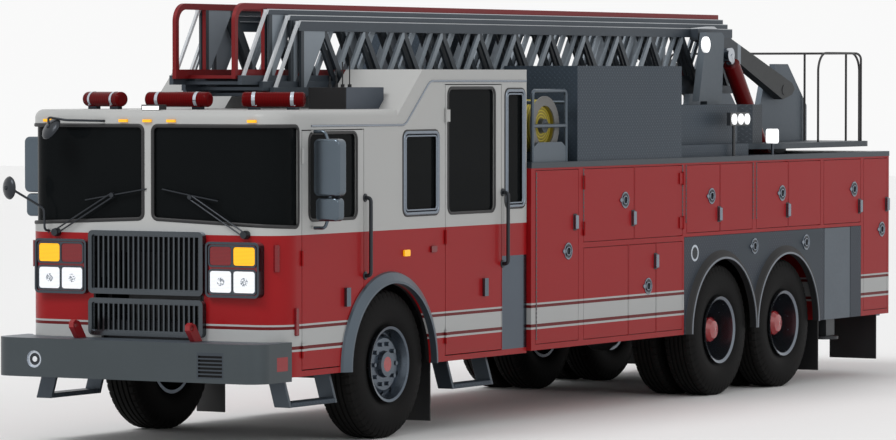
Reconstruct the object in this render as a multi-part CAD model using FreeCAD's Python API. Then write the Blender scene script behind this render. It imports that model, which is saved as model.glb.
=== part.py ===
import FreeCAD, Part
import math
import os

# Rear-mount aerial ladder fire engine, six wheels on three axles, twin tyres at the rear.
# Millimetres. While it is drawn, +Y runs rearwards from the front axle, +X to the driver's side
# and +Z up from the ground. export() then moves the origin to the middle of the vehicle's length.

V = FreeCAD.Vector
os.makedirs("parts", exist_ok=True)

# ---------------------------------------------------------------- driving dimensions
REAR_END = 9640.0            # rear face of the body
BUMPER_FRONT = -2050.0       # front face of the bumper
REAR_STEP = 110.0            # rear step behind the body
LENGTH_MID = (REAR_END + REAR_STEP + BUMPER_FRONT) / 2

TYRE_R = 600.0
RIM_R = 292.0                # bead seat of the rims
FLANGE_R = 306.0
HUB_Z = TYRE_R
REAR_AXLES = (5937.0, 7291.0)
FRONT_TYRE = (860.0, 1200.0)         # inner and outer wall of a front tyre, from the middle
REAR_TYRES = ((590.0, 888.0), (932.0, 1230.0))
KINGPIN_X = 790.0
KINGPIN_R = 28.0
SPINDLE_R = 42.0
REAR_SPINDLE_R = 60.0
FIT = 0.05                   # radial running clearance of pins and shafts
GAP = 5.0                    # clearance of moving panels
SEAT = 0.3                   # rest gap between pieces that only stand on each other

RAIL_X = 430.0
RAIL_Z = (760.0, 1030.0)
RAIL_FLANGE = 90.0
RAIL_WALL = 10.0

CAB_HALF = 1208.0
CAB_FRONT = -1700.0          # at the middle of the front's shallow curve
CAB_CORNER_R = 250.0
CAB_BOW = 20.0               # depth of the front's curve
CAB_REAR = 2295.0
CAB_BOTTOM = 575.0
CAB_ROOF = 2660.0
CAB_WALL = 50.0
CAB_FLOOR = (1000.0, 1050.0)
POD_TOP = 2980.0
POD_X = 480.0                # inner side of the raised roof pods
POD_FRONT = (180.0, 535.0)   # foot and top of the pods' sloping front
TUNNEL_HALF = 460.0          # engine tunnel between the front seats
TUNNEL_TOP = 1600.0
TUNNEL_REAR = 900.0

ARCH_R = 670.0               # front wheel opening
ARCH_FLARE = 95.0            # width of the bright flare around it
FLARE_OUT = 57.0             # how far the flare stands off the cab
WELL_R = 740.0               # room for the steered wheel
WELL_TOP = 1320.0
SKIN = 40.0                  # panels of the engine tunnel and wheel wells

BELT = 1794.0                # bottom of the side windows
FRONT_DOOR = (-1354.0, -400.0)
FRONT_DOOR_TOP = 2505.0
CREW_DOOR = (903.0, 1860.0)
CREW_DOOR_TOP = 2860.0
DOOR_BOTTOM = 620.0
HINGE_R = 10.0               # door hinge knuckles, lying on the skin

BODY_HALF = 1245.0
BODY_FRONT = 2310.0
BODY_BOTTOM = 592.0
BODY_TOP = 2142.0
DECK_TOP = 2190.0
LEAF = 25.0                  # thickness of a compartment door
UPPER_SILL = 1480.0
LOWER_TOP = UPPER_SILL - 6.0
LOWER_LEAF_TOP = UPPER_SILL - 40.0
PANEL_Y = (5181.0, 8991.0)   # treadplate lower panel round the rear wheels
OUTRIGGER_Y = (8150.0, 8740.0)
REAR_ARCH_R = 655.0
REAR_FLARE = 80.0

SLEW_Y = 8300.0
WELL_TURN_R = 900.0
PIVOT = (8770.0, 2790.0)     # ladder elevation axis, y and z
PIVOT_R = 50.0

# ladder sections: half width, bottom of side rail, top and height of hand rail, front and rear
# ends, and how far the front bar leans back
LADDER = (
    {"name": "ladder_base", "half": 435.0, "bottom": 2760.0, "top": 3377.0, "hand": 85.0,
     "front": -520.0, "rear": 7800.0, "rake": 390.0},
    {"name": "ladder_lower_mid", "half": 390.0, "bottom": 2808.0, "top": 3422.0, "hand": 45.0,
     "front": -610.0, "rear": 7790.0, "rake": 390.0},
    {"name": "ladder_upper_mid", "half": 345.0, "bottom": 2856.0, "top": 3467.0, "hand": 45.0,
     "front": -860.0, "rear": 7780.0, "rake": 385.0},
    {"name": "ladder_fly", "half": 300.0, "bottom": 2904.0, "top": 3512.0, "hand": 50.0,
     "front": -885.0, "rear": 7770.0, "rake": 0.0},
)
SIDE_RAIL = (38.0, 75.0)     # width and height of a ladder's side rail
HAND_RAIL = 34.0             # width of a hand rail
BAYS = 12                    # bays of lattice in a section
HEAD_BAR = 30.0              # raked bar at a section's front
HEAD_POST = 45.0
HEAD_R = 150.0               # round upper corner of that frame
LATTICE_BAR = 45.0
LATTICE_END = 60.0           # closed end of the lattice at the heel
HEAD_BAY = 400.0             # open bay in the fly's upright front frame
LACE = 22.0                  # thickness of the ladder's lattice
RUNG = 26.0
RUNG_PITCH = 356.0


# ---------------------------------------------------------------- shape helpers
def box(x, y, z):
    return Part.makeBox(x[1] - x[0], y[1] - y[0], z[1] - z[0], V(x[0], y[0], z[0]))


def cyl(start, along, radius):
    """Cylinder from a point along a vector."""
    d = V(*along)
    return Part.makeCylinder(radius, d.Length, V(*start), d)


def rod(a, b, radius):
    return cyl(a, (b[0] - a[0], b[1] - a[1], b[2] - a[2]), radius)


def prism(points, axis, start, end):
    """Polygon drawn in the two other axes, run from start to end along axis."""
    place = {
        "x": lambda a, b: V(start, a, b),
        "y": lambda a, b: V(a, start, b),
        "z": lambda a, b: V(a, b, start),
    }[axis]
    step = {"x": V(end - start, 0, 0), "y": V(0, end - start, 0), "z": V(0, 0, end - start)}[axis]
    wire = Part.makePolygon([place(*p) for p in points] + [place(*points[0])])
    return Part.Face(wire).extrude(step)


def rounded(x, y, z, radius, axis):
    """Box whose four edges along axis are rounded."""
    b = box(x, y, z)
    i = "xyz".index(axis)
    edges = []
    for e in b.Edges:
        d = e.Vertexes[1].Point - e.Vertexes[0].Point
        if abs((d.x, d.y, d.z)[i]) > 1e-6:
            edges.append(e)
    return b.makeFillet(radius, edges)


def fuse(shapes):
    shapes = list(shapes)
    out = shapes[0].multiFuse(shapes[1:]) if len(shapes) > 1 else shapes[0]
    return out.removeSplitter()


def cut(shape, tools):
    tools = list(tools)
    return shape.cut(tools) if tools else shape


def split(shape, cells):
    """The parts of a shape that lie in each cell in turn, then what is left of it."""
    out = []
    for cell in cells:
        out += shape.common(cell).Solids
        shape = shape.cut(cell)
    return out + shape.Solids


def mirrored(shape):
    return shape.mirror(V(0, 0, 0), V(1, 0, 0))


def both(shape):
    return [shape, mirrored(shape)]


def revolve_x(profile, centre_y, centre_z):
    """Ring from an (x, radius) outline turned about a line along X."""
    pts = [V(x, centre_y, centre_z + r) for x, r in profile]
    face = Part.Face(Part.makePolygon(pts + [pts[0]]))
    return face.revolve(V(0, centre_y, centre_z), V(1, 0, 0), 360)


def tube_path(points, radius, bend):
    """Round tube along straight runs with bends of the given radius."""
    pts = [V(*p) for p in points]
    edges = []
    last = pts[0]
    for before, corner, after in zip(pts, pts[1:], pts[2:]):
        a = (before - corner).normalize()
        b = (after - corner).normalize()
        half = a.getAngle(b) / 2
        back = bend / math.tan(half)
        p = corner + a * back
        q = corner + b * back
        middle = (a + b).normalize()
        m = corner + middle * (bend / math.sin(half) - bend)
        edges.append(Part.LineSegment(last, p).toShape())
        edges.append(Part.Arc(p, m, q).toShape())
        last = q
    edges.append(Part.LineSegment(last, pts[-1]).toShape())
    wire = Part.Wire(edges)
    start = pts[1] - pts[0]
    ring = Part.Wire(Part.makeCircle(radius, pts[0], start))
    return wire.makePipeShell([ring], True, False)


def export(name, shapes):
    if not isinstance(shapes, (list, tuple)):
        shapes = [shapes]
    solids = [s for shape in shapes for s in shape.Solids]
    moved = Part.makeCompound(solids)
    moved.translate(V(0, -LENGTH_MID, 0))
    moved.exportStep("parts/" + name + ".step")
    print(name, len(solids), round(sum(s.Volume for s in solids) / 1e9, 4), moved.isValid())


# ---------------------------------------------------------------- chassis
FRAME_FRONT = -1640.0
FRAME_REAR = 9350.0
CROSSMEMBERS = (-1580.0, 1500.0, 2600.0, 4200.0, 5300.0, 6614.0, 9250.0)
PEDESTAL_Y = (7650.0, 8950.0)
PEDESTAL_TOP = 1780.0
OUT_BOX_Y = (8300.0, 8720.0)
OUT_BOX_Z = (440.0, RAIL_Z[0])
OUT_BEAM_Z = (455.0, 685.0)
OUT_WALL = 10.0
OUT_HALF = BODY_HALF - 245.0
BOWL_R = 225.0               # differential housing of each rear axle


def make_frame():
    web = RAIL_X - RAIL_WALL
    inner = RAIL_X - RAIL_FLANGE
    low, high = RAIL_Z
    section = [(RAIL_X, low), (inner, low), (inner, low + RAIL_WALL), (web, low + RAIL_WALL),
               (web, high - RAIL_WALL), (inner, high - RAIL_WALL), (inner, high), (RAIL_X, high)]
    rail = prism(section, "y", FRAME_FRONT, FRAME_REAR)
    parts = both(rail)
    for y in CROSSMEMBERS:
        parts.append(box((-web, web), (y - 60, y + 60), (low + 90, high - 40)))
    tower = box((-520, 520), PEDESTAL_Y, (RAIL_Z[1], PEDESTAL_TOP))
    ring = cyl((0, SLEW_Y, PEDESTAL_TOP), (0, 0, 60), 520)
    parts += [tower, ring]
    # cross box of the stabilisers, one cell for each beam
    housing = box((-OUT_HALF, OUT_HALF), OUT_BOX_Y, OUT_BOX_Z)
    middle = sum(OUT_BOX_Y) / 2
    cells = []
    for y in ((OUT_BOX_Y[0] + OUT_WALL, middle - OUT_WALL / 2),
              (middle + OUT_WALL / 2, OUT_BOX_Y[1] - OUT_WALL)):
        cells.append(box((-OUT_HALF - 1, OUT_HALF + 1), y, (OUT_BEAM_Z[0] - SEAT, OUT_BEAM_Z[1] + GAP)))
    parts.append(cut(housing, cells))
    return parts


def make_axles():
    solids = []
    beam = box((-KINGPIN_X, KINGPIN_X), (-55, 55), (470, 575))
    bosses = []
    holes = []
    for s in (-1, 1):
        bosses.append(cyl((s * KINGPIN_X, 0, 470), (0, 0, 200), 62))
        holes.append(cyl((s * KINGPIN_X, 0, 400), (0, 0, 400), KINGPIN_R + FIT))
    solids.append(cut(fuse([beam] + bosses), holes))
    for s in (-1, 1):
        leaves = prism([(-760, 735), (-760, 760 - SEAT), (-700, 760 - SEAT), (-560, 690), (560, 690),
                        (700, 760 - SEAT), (760, 760 - SEAT), (760, 735), (560, 640), (150, 600),
                        (150, 575 + SEAT), (-150, 575 + SEAT), (-150, 600), (-560, 640)],
                       "x", s * 385 - 40, s * 385 + 40)
        solids.append(leaves)
    for y in REAR_AXLES:
        tube = cyl((-870, y, HUB_Z), (1740, 0, 0), 85)
        bowl = revolve_x([(-200, 0), (-200, 80), (-110, 185), (-60, BOWL_R), (60, BOWL_R), (110, 185),
                          (200, 80), (200, 0)], y, HUB_Z)
        ends = [cyl((s * 870, y, HUB_Z), (s * 180, 0, 0), REAR_SPINDLE_R) for s in (-1, 1)]
        seats = [box((s * 385 - 60, s * 385 + 60), (y - 90, y + 90), (600, 700)) for s in (-1, 1)]
        solids.append(fuse([tube, bowl] + ends + seats))
    middle = sum(REAR_AXLES) / 2
    for s in (-1, 1):
        pack = prism([(REAR_AXLES[0] - 200, 700 + SEAT), (REAR_AXLES[0] + 200, 700 + SEAT),
                      (middle - 150, 715), (middle + 150, 715), (REAR_AXLES[1] - 200, 700 + SEAT),
                      (REAR_AXLES[1] + 200, 700 + SEAT), (REAR_AXLES[1] + 200, 735),
                      (middle + 120, 760 - SEAT), (middle - 120, 760 - SEAT),
                      (REAR_AXLES[0] - 200, 735)],
                     "x", s * 385 - 45, s * 385 + 45)
        solids.append(pack)
    return solids


ENGINE_HALF = 325.0
ENGINE_Y = (-1150.0, 520.0)
GEARBOX_REAR = 1250.0
SHAFT_R = 55.0


def make_driveline():
    between = RAIL_X - RAIL_FLANGE - SEAT
    engine = box((-ENGINE_HALF, ENGINE_HALF), ENGINE_Y, (640, TUNNEL_TOP - 120))
    feet = both(box((ENGINE_HALF, between), (-700, -540), (RAIL_Z[0], RAIL_Z[0] + 60)))
    gearbox = box((-200, 200), (ENGINE_Y[1], GEARBOX_REAR), (640, 980))
    radiator = box((-between, between), (-1460, -1340), (780, 1560))
    end = REAR_AXLES[0] - BOWL_R - SEAT
    neck = end - 80
    shaft = rod((0, GEARBOX_REAR, 780), (0, neck, 641), SHAFT_R).cut(gearbox)
    stub = rod((0, neck - 20, 641), (0, end, 641), 40).cut(shaft)
    link = rod((0, REAR_AXLES[0] + BOWL_R + SEAT, HUB_Z), (0, REAR_AXLES[1] - BOWL_R - SEAT, HUB_Z), 50)
    return [engine, gearbox, shaft, stub, radiator, link] + feet


# ---------------------------------------------------------------- wheels
def front_tyre(side):
    a, b = FRONT_TYRE
    w = b - a
    profile = [(a + 30, RIM_R), (a + 30, FLANGE_R + 2), (a + 4, 360), (a, 450), (a + 14, 540),
               (a + 50, TYRE_R - 12), (a + 90, TYRE_R), (b - 90, TYRE_R), (b - 50, TYRE_R - 12),
               (b - 14, 540), (b, 450), (b - 4, 360), (b - 30, RIM_R)]
    ring = revolve_x(profile, 0, HUB_Z)
    return ring if side > 0 else mirrored(ring)


def front_rim(side):
    a, b = FRONT_TYRE
    face = b - 55
    profile = [(a + 18, FLANGE_R), (a + 18, RIM_R - 14), (face - 40, RIM_R - 32), (face - 40, 235),
               (face - 10, 205), (face - 10, 110), (face + 10, 110), (face + 10, 210), (face - 18, 245),
               (face - 18, RIM_R - 36), (b + 8, RIM_R - 8), (b + 14, FLANGE_R), (b - 8, FLANGE_R),
               (b - 30, RIM_R - SEAT), (a + 30, RIM_R - SEAT), (a + 30, FLANGE_R)]
    rim = revolve_x(profile, 0, HUB_Z)
    hub = revolve_x([(a + 30, SPINDLE_R + FIT), (a + 30, 95), (face - 60, 95), (face - 60, 150),
                     (face - 10, 150), (face + 10, 110), (face + 45, 100), (face + 45, 0),
                     (1010 + 20, 0), (1010 + 20, SPINDLE_R + FIT)], 0, HUB_Z)
    parts = [rim, hub]
    for k in range(10):
        t = math.radians(36 * k)
        y = 168 * math.cos(t)
        z = HUB_Z + 168 * math.sin(t)
        parts.append(cyl((face - 10, y, z), (42, 0, 0), 17))
    holes = []
    for k in range(10):
        t = math.radians(36 * k + 18)
        holes.append(cyl((face - 90, 238 * math.cos(t), HUB_Z + 238 * math.sin(t)), (120, 0, 0), 19))
    wheel = cut(fuse(parts), holes)
    return wheel if side > 0 else mirrored(wheel)


def rear_tyres(side, axle):
    rings = []
    for a, b in REAR_TYRES:
        profile = [(a + 28, RIM_R), (a + 28, FLANGE_R + 2), (a + 2, 380), (a + 6, 520),
                   (a + 44, TYRE_R - 10),
                   (a + 80, TYRE_R), (b - 80, TYRE_R), (b - 44, TYRE_R - 10), (b - 6, 520), (b - 2, 380),
                   (b - 28, RIM_R)]
        rings.append(revolve_x(profile, axle, HUB_Z))
    rings = Part.makeCompound(rings)
    return rings if side > 0 else mirrored(rings)


def rear_rim(side, axle):
    inner, outer = REAR_TYRES
    split = (inner[1] + outer[0]) / 2
    top = RIM_R - SEAT
    profile = [(inner[0] + 14, FLANGE_R), (inner[0] + 14, RIM_R - 14), (split - 12, RIM_R - 30),
               (split - 12, 120), (split + 12, 120), (split + 12, RIM_R - 30),
               (outer[1] - 4, RIM_R - 12), (outer[1] + 8, FLANGE_R), (outer[1] - 10, FLANGE_R),
               (outer[1] - 28, top), (outer[0] + 28, top), (outer[0] + 10, FLANGE_R - 4),
               (inner[1] - 10, FLANGE_R - 4), (inner[1] - 28, top), (inner[0] + 28, top),
               (inner[0] + 28, FLANGE_R)]
    rim = revolve_x(profile, axle, HUB_Z)
    hub = revolve_x([(split - 30, REAR_SPINDLE_R + FIT), (split - 30, 170), (split + 60, 170),
                     (split + 60, 128), (split + 230, 112), (split + 262, 80), (split + 272, 0),
                     (1060, 0), (1060, REAR_SPINDLE_R + FIT)], axle, HUB_Z)
    parts = [rim, hub]
    for k in range(10):
        t = math.radians(36 * k)
        y = axle + 148 * math.cos(t)
        z = HUB_Z + 148 * math.sin(t)
        parts.append(cyl((split - 10, y, z), (110, 0, 0), 15))
    wheel = fuse(parts)
    return wheel if side > 0 else mirrored(wheel)


def knuckle(side):
    ears = [cyl((KINGPIN_X, 0, z), (0, 0, 40), 60) for z in (670 + GAP, 470 - GAP - 40)]
    pin = cyl((KINGPIN_X, 0, 470 - GAP - 20), (0, 0, 240), KINGPIN_R)
    plate = box((KINGPIN_X + 68, 880), (-62, 62), (425, 715))
    arms = [box((KINGPIN_X, KINGPIN_X + 75), (-50, 50), (670 + GAP, 715)),
            box((KINGPIN_X, KINGPIN_X + 75), (-50, 50), (425, 470 - GAP))]
    spindle = cyl((880, 0, HUB_Z), (130, 0, 0), SPINDLE_R)
    arm = prism([(KINGPIN_X - 20, 0), (KINGPIN_X + 30, 0), (KINGPIN_X - 30, 330), (KINGPIN_X - 75, 330)],
                "z", 425, 455)
    k = fuse(ears + [pin, plate] + arms + [spindle, arm])
    return k if side > 0 else mirrored(k)


# ---------------------------------------------------------------- cab
GLASS = 8.0
PANE_IN = 20.0               # how far a pane sits behind the outer skin
SIDE_WINDOWS = ((217.0, 803.0, BELT, 2480.0), (1918.0, 2269.0, BELT + 20, 2817.0))
FRONT_DOOR_WINDOW = (-1242.0, -510.0, BELT, 2479.0)
CREW_DOOR_WINDOW = (952.0, 1746.0, BELT, 2827.0)
WINDOW_R = 60.0
SCREEN_X = (45.0, 1300.0)
SCREEN_Z = (1800.0, 2535.0)
SCREEN_BACK = -1400.0
GRILLE_HALF = 539.0
GRILLE_Z = (875.0, 1706.0)
GRILLE_SPLIT = (1171.0, 1204.0)
STEP_Z = (300.0, 330.0)


def cab_plan(inset):
    """Plan outline of the cab, moved inwards by inset, as a wire at z = 0."""
    half = CAB_HALF - inset
    r = CAB_CORNER_R - inset
    front = CAB_FRONT + inset
    rear = CAB_REAR - inset
    straight = half - r
    edge_y = front + CAB_BOW
    corner_y = edge_y + r
    k = r * (1 - math.sqrt(0.5))
    edges = [
        Part.LineSegment(V(-half, rear, 0), V(-half, corner_y, 0)).toShape(),
        Part.Arc(V(-half, corner_y, 0), V(-half + k, edge_y + k, 0), V(-straight, edge_y, 0)).toShape(),
        Part.Arc(V(-straight, edge_y, 0), V(0, front, 0), V(straight, edge_y, 0)).toShape(),
        Part.Arc(V(straight, edge_y, 0), V(half - k, edge_y + k, 0), V(half, corner_y, 0)).toShape(),
        Part.LineSegment(V(half, corner_y, 0), V(half, rear, 0)).toShape(),
        Part.LineSegment(V(half, rear, 0), V(-half, rear, 0)).toShape(),
    ]
    return Part.Wire(edges)


def cab_solid(inset, low, high):
    wire = cab_plan(inset)
    wire.translate(V(0, 0, low))
    return Part.Face(wire).extrude(V(0, 0, high - low))


def pods(inset):
    """The two raised roof pods either side of the ladder's trough."""
    foot, brow = POD_FRONT
    low = CAB_ROOF - CAB_WALL - 200
    profile = [(foot + inset, low), (foot + inset, CAB_ROOF - inset), (brow + inset * 0.6, POD_TOP - inset),
               (CAB_REAR - inset, POD_TOP - inset), (CAB_REAR - inset, low)]
    return both(prism(profile, "x", POD_X + inset, CAB_HALF - inset))


def windscreen_cut(side):
    low, high = SCREEN_Z
    a, b = SCREEN_X
    shape = prism([(a, low + 30), (a + 30, low), (b - 150, low - 45), (b, low - 45), (b, high),
                   (a + 30, high), (a, high - 30)], "y", CAB_FRONT - 60, SCREEN_BACK)
    return shape if side > 0 else mirrored(shape)


def side_prism(y0, y1, z0, z1, x0, x1, radius):
    return rounded((x0, x1), (y0, y1), (z0, z1), radius, "x")


def front_door_solid(gap, x0, x1):
    """The front door's panel, cut round the wheel arch."""
    y0, y1 = FRONT_DOOR
    slab = box((x0, x1), (y0 + gap, y1 - gap), (DOOR_BOTTOM + gap, FRONT_DOOR_TOP - gap))
    arch = cyl((x0 - 1, 0, ARCH_Z), (x1 - x0 + 2, 0, 0), ARCH_R + ARCH_FLARE + GAP + gap)
    return slab.cut(arch)


def crew_door_solid(gap, x0, x1):
    y0, y1 = CREW_DOOR
    return box((x0, x1), (y0 + gap, y1 - gap), (DOOR_BOTTOM + gap, CREW_DOOR_TOP - gap))


ARCH_Z = 585.0
DOOR_GAP = 8.0
FRONT_HINGE_Z = (780.0, 1500.0, 2300.0)
CREW_HINGE_Z = (780.0, 1600.0, 2600.0)
FRONT_HANDLE = (-681.0, 1171.0)      # middle of the handle, y and z
CREW_HANDLE = (1558.0, 1163.0)
HANDLE = (28.0, 32.0, 75.0)          # how far it stands out, half width and half height


def make_cab():
    outer = fuse([cab_solid(0, CAB_BOTTOM, CAB_ROOF)] + pods(0))
    brow = [e for e in outer.Edges if e.BoundBox.ZMin > CAB_ROOF - 1 and e.BoundBox.ZMax < CAB_ROOF + 1
            and e.BoundBox.YMax < POD_FRONT[0] + 1 and e.BoundBox.YMin < -1000]
    outer = outer.makeFillet(70, brow)
    inner = fuse([cab_solid(CAB_WALL, CAB_FLOOR[1], CAB_ROOF - CAB_WALL)] + pods(CAB_WALL))
    inner = inner.common(box((-2000, 2000), (-3000, 3000), (CAB_FLOOR[1], POD_TOP)))
    tunnel = box((-TUNNEL_HALF, TUNNEL_HALF), (-1660, TUNNEL_REAR), (CAB_FLOOR[1] - 10, TUNNEL_TOP))
    well = box((TUNNEL_HALF - 10, CAB_HALF), (-WELL_R - SKIN, WELL_R + SKIN), (CAB_FLOOR[1] - 10, WELL_TOP))
    inner = inner.cut([tunnel] + both(well))
    under = cab_solid(CAB_WALL, CAB_BOTTOM - 1, CAB_FLOOR[0])
    tunnel_room = box((-TUNNEL_HALF + SKIN, TUNNEL_HALF - SKIN), (-1655, TUNNEL_REAR - SKIN),
                      (CAB_BOTTOM, TUNNEL_TOP - SKIN))
    well_room = box((TUNNEL_HALF + 10, CAB_HALF - CAB_WALL), (-WELL_R, WELL_R),
                    (CAB_BOTTOM, WELL_TOP - SKIN))
    frame_room = box((-RAIL_X - 15, RAIL_X + 15), (CAB_FRONT - 10, CAB_REAR + 10),
                     (CAB_BOTTOM - 1, RAIL_Z[1] + SEAT))
    shell = outer.cut([inner, under, tunnel_room, frame_room] + both(well_room))
    cuts = []
    for s in (-1, 1):
        cuts.append(windscreen_cut(s))
    side = []
    for y0, y1, z0, z1 in SIDE_WINDOWS:
        side.append(side_prism(y0, y1, z0, z1, CAB_HALF - 90, CAB_HALF + 20, WINDOW_R))
    side.append(front_door_solid(0, CAB_HALF - CAB_WALL - 1, CAB_HALF + 5))
    side.append(crew_door_solid(0, CAB_HALF - CAB_WALL - 1, CAB_HALF + 5))
    side.append(cyl((CAB_HALF - 60, 0, ARCH_Z), (80, 0, 0), ARCH_R))
    for shape in side:
        cuts += both(shape)
    grille = box((-GRILLE_HALF + 40, GRILLE_HALF - 40), (CAB_FRONT - 10, CAB_FRONT + 120),
                 (GRILLE_Z[0] + 40, TUNNEL_TOP - 60))
    cuts.append(grille)
    shell = shell.cut(cuts)
    steps = []
    for y0, y1 in ((-1330.0, -790.0), (CREW_DOOR[0] + 10, CREW_DOOR[1] - 10)):
        steps += both(box((820, CAB_HALF - CAB_WALL - 10), (y0, y1), (600, 620)))
        steps += both(box((800, 820), (y0, y1), (600, CAB_FLOOR[0])))
    wall = CAB_HALF - CAB_WALL
    far = 3000.0
    lintel = SCREEN_Z[1] + 20
    reach = WELL_R + SKIN
    turn = CAB_HALF - CAB_CORNER_R
    bend = CAB_FRONT + CAB_BOW + CAB_CORNER_R
    front = CAB_FRONT + CAB_BOW + CAB_WALL
    rear = CAB_REAR - CAB_WALL
    low, high = CAB_FLOOR[0], TUNNEL_TOP + 1
    cells = both(box((POD_X, far), (-far, far), (lintel, far)))
    cells.append(box((-far, far), (-far, far), (lintel, far)))
    posts = (-far, FRONT_DOOR[0], FRONT_DOOR[1], 0, CREW_DOOR[0], CREW_DOOR[1], far)
    for stretch in zip(posts, posts[1:]):
        cells += both(box((wall, far), stretch, (0, lintel)))
    for level in ((0, low), (low, far)):
        cells += both(box((turn, far), (-far, bend), level))
        cells.append(box((-far, far), (-far, front), level))
    cells.append(box((-far, far), (rear, far), (0, far)))
    cells.append(box((-TUNNEL_HALF, TUNNEL_HALF), (front, TUNNEL_REAR), (low, high)))
    cells.append(box((-TUNNEL_HALF, TUNNEL_HALF), (TUNNEL_REAR, rear), (low, high)))
    cells += both(box((TUNNEL_HALF, wall), (-reach, reach), (WELL_TOP - SKIN, high)))
    cells += both(box((TUNNEL_HALF, TUNNEL_HALF + 10), (-reach, reach), (low, high)))
    cells += both(box((TUNNEL_HALF, wall), (-reach, reach), (low, high)))
    cells += both(box((TUNNEL_HALF, wall), (front, -reach), (low, high)))
    return split(shell, cells) + steps


def make_cab_glass():
    panes = []
    band = cab_solid(PANE_IN, SCREEN_Z[0] - 60, SCREEN_Z[1]).cut(
        cab_solid(PANE_IN + GLASS, SCREEN_Z[0] - 61, SCREEN_Z[1] + 1))
    for s in (-1, 1):
        panes.append(band.common(windscreen_cut(s)))
    for y0, y1, z0, z1 in SIDE_WINDOWS:
        x1 = CAB_HALF - PANE_IN
        panes += both(side_prism(y0, y1, z0, z1, x1 - GLASS, x1, WINDOW_R))
    return panes


MIRROR_Y = -1200.0
MIRROR_OUT = 165.0           # from the door to the mirror's stem
MIRROR_TUBE = 13.0
MIRROR_LIP = 20.0            # rounding of the mirrors' rims
MIRROR_FEET = (1735.0, 2490.0)
MIRROR_BIG = (120.0, 60.0, 1985.0, 2435.0, 45.0)      # half width, half depth, bottom, top, corner
MIRROR_SMALL = (105.0, 55.0, 1790.0, 1975.0, 40.0)


def mirror_arm():
    """Door mirrors: a tall flat glass over a small wide-angle one, on two bent arms."""
    x, y = CAB_HALF, MIRROR_Y
    stem = x + MIRROR_OUT
    low, high = MIRROR_FEET
    reach = stem - 45
    parts = [tube_path([(x, y, high), (reach, y, high), (stem, y, high - 110)], MIRROR_TUBE, 40),
             tube_path([(x, y, low), (reach, y, low), (stem, y, low + 115)], MIRROR_TUBE, 40),
             rod((stem, y, MIRROR_SMALL[3] - 75), (stem, y, MIRROR_BIG[2] + 65), MIRROR_TUBE)]
    for half, deep, z0, z1, corner in (MIRROR_BIG, MIRROR_SMALL):
        shell = rounded((stem - half, stem + half), (y - deep, y + deep), (z0, z1), corner, "y")
        lips = [e for e in shell.Edges if abs(e.BoundBox.YMax - e.BoundBox.YMin) < 1e-6]
        parts.append(shell.makeFillet(MIRROR_LIP, lips))
    return fuse(parts)


def hinges(skin, edge, way, heights):
    """Hinge knuckles lying on the skin, each with a strap on the door on side way of the edge."""
    parts = []
    x = skin + SEAT + HINGE_R
    for z in heights:
        parts.append(cyl((x, edge, z - 60), (0, 0, 120), HINGE_R))
        strap = sorted((edge + way * 2, edge + way * 70))
        parts.append(box((skin - 5, x), strap, (z - 50, z + 50)))
    return parts


def handle(y, z):
    out, wide, tall = HANDLE
    return box((CAB_HALF, CAB_HALF + out), (y - wide, y + wide), (z - tall, z + tall))


def make_front_door(side):
    slab = front_door_solid(DOOR_GAP, CAB_HALF - CAB_WALL, CAB_HALF)
    y0, y1, z0, z1 = FRONT_DOOR_WINDOW
    slab = slab.cut(side_prism(y0, y1, z0, z1, CAB_HALF - 90, CAB_HALF + 20, WINDOW_R))
    held = hinges(CAB_HALF, FRONT_DOOR[0], 1, FRONT_HINGE_Z)
    door = fuse([slab, mirror_arm(), handle(*FRONT_HANDLE)] + held)
    return door if side > 0 else mirrored(door)


def make_crew_door(side):
    slab = crew_door_solid(DOOR_GAP, CAB_HALF - CAB_WALL, CAB_HALF)
    y0, y1, z0, z1 = CREW_DOOR_WINDOW
    slab = slab.cut(side_prism(y0, y1, z0, z1, CAB_HALF - 90, CAB_HALF + 20, WINDOW_R))
    door = fuse([slab, handle(*CREW_HANDLE)] + hinges(CAB_HALF, CREW_DOOR[0], 1, CREW_HINGE_Z))
    return door if side > 0 else mirrored(door)


def door_glass(side, window):
    y0, y1, z0, z1 = window
    x1 = CAB_HALF - PANE_IN
    pane = side_prism(y0, y1, z0, z1, x1 - GLASS, x1, WINDOW_R)
    return pane if side > 0 else mirrored(pane)


def make_cab_interior():
    floor = CAB_FLOOR[1]
    solids = []
    dash = prism([(-1640, 1330), (-1640, 1660), (-1420, 1720), (-1300, 1640), (-1300, 1560), (-1420, 1330)],
                 "x", -1090, 1090)
    dash = dash.common(cab_solid(CAB_WALL + SEAT, 1300, 1800))
    beside = TUNNEL_HALF + SEAT
    dash = dash.cut(box((-beside, beside), (CAB_FRONT, -1200), (1200, TUNNEL_TOP + SEAT)))
    column = rod((830, -1400, 1560), (830, -1130, 1600), 30)
    wheel = Part.makeTorus(205, 18, V(830, -1120, 1602), V(0, 1, 0.15))
    spoke = rod((630, -1121, 1602), (1030, -1121, 1602), 14)
    solids.append(fuse([dash, column, wheel, spoke]))
    for x in (-830.0, 830.0):
        seat = fuse([rounded((x - 250, x + 250), (-740, -240), (1440, 1580), 40, "x"),
                     box((x - 150, x + 150), (-660, -300), (WELL_TOP + SEAT, 1450)),
                     rounded((x - 240, x + 240), (-260, -130), (1500, 2250), 50, "x")])
        solids.append(seat)
    for x in (-900.0, -300.0, 300.0, 900.0):
        seat = fuse([rounded((x - 240, x + 240), (1640, 2100), (1440, 1570), 40, "x"),
                     box((x - 150, x + 150), (1720, 2080), (floor + SEAT, 1450)),
                     rounded((x - 230, x + 230), (2090, 2220), (1450, 2250), 50, "x")])
        solids.append(seat)
    return solids


GRILLE_STAND = 45.0          # how far the grille's frame stands off the cab
GRILLE_RIM = 34.0
GRILLE_SINK = 16.0           # how far the bars lie behind the frame
GRILLE_BARS = 20
BAR_WIDTH = 15.0


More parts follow.
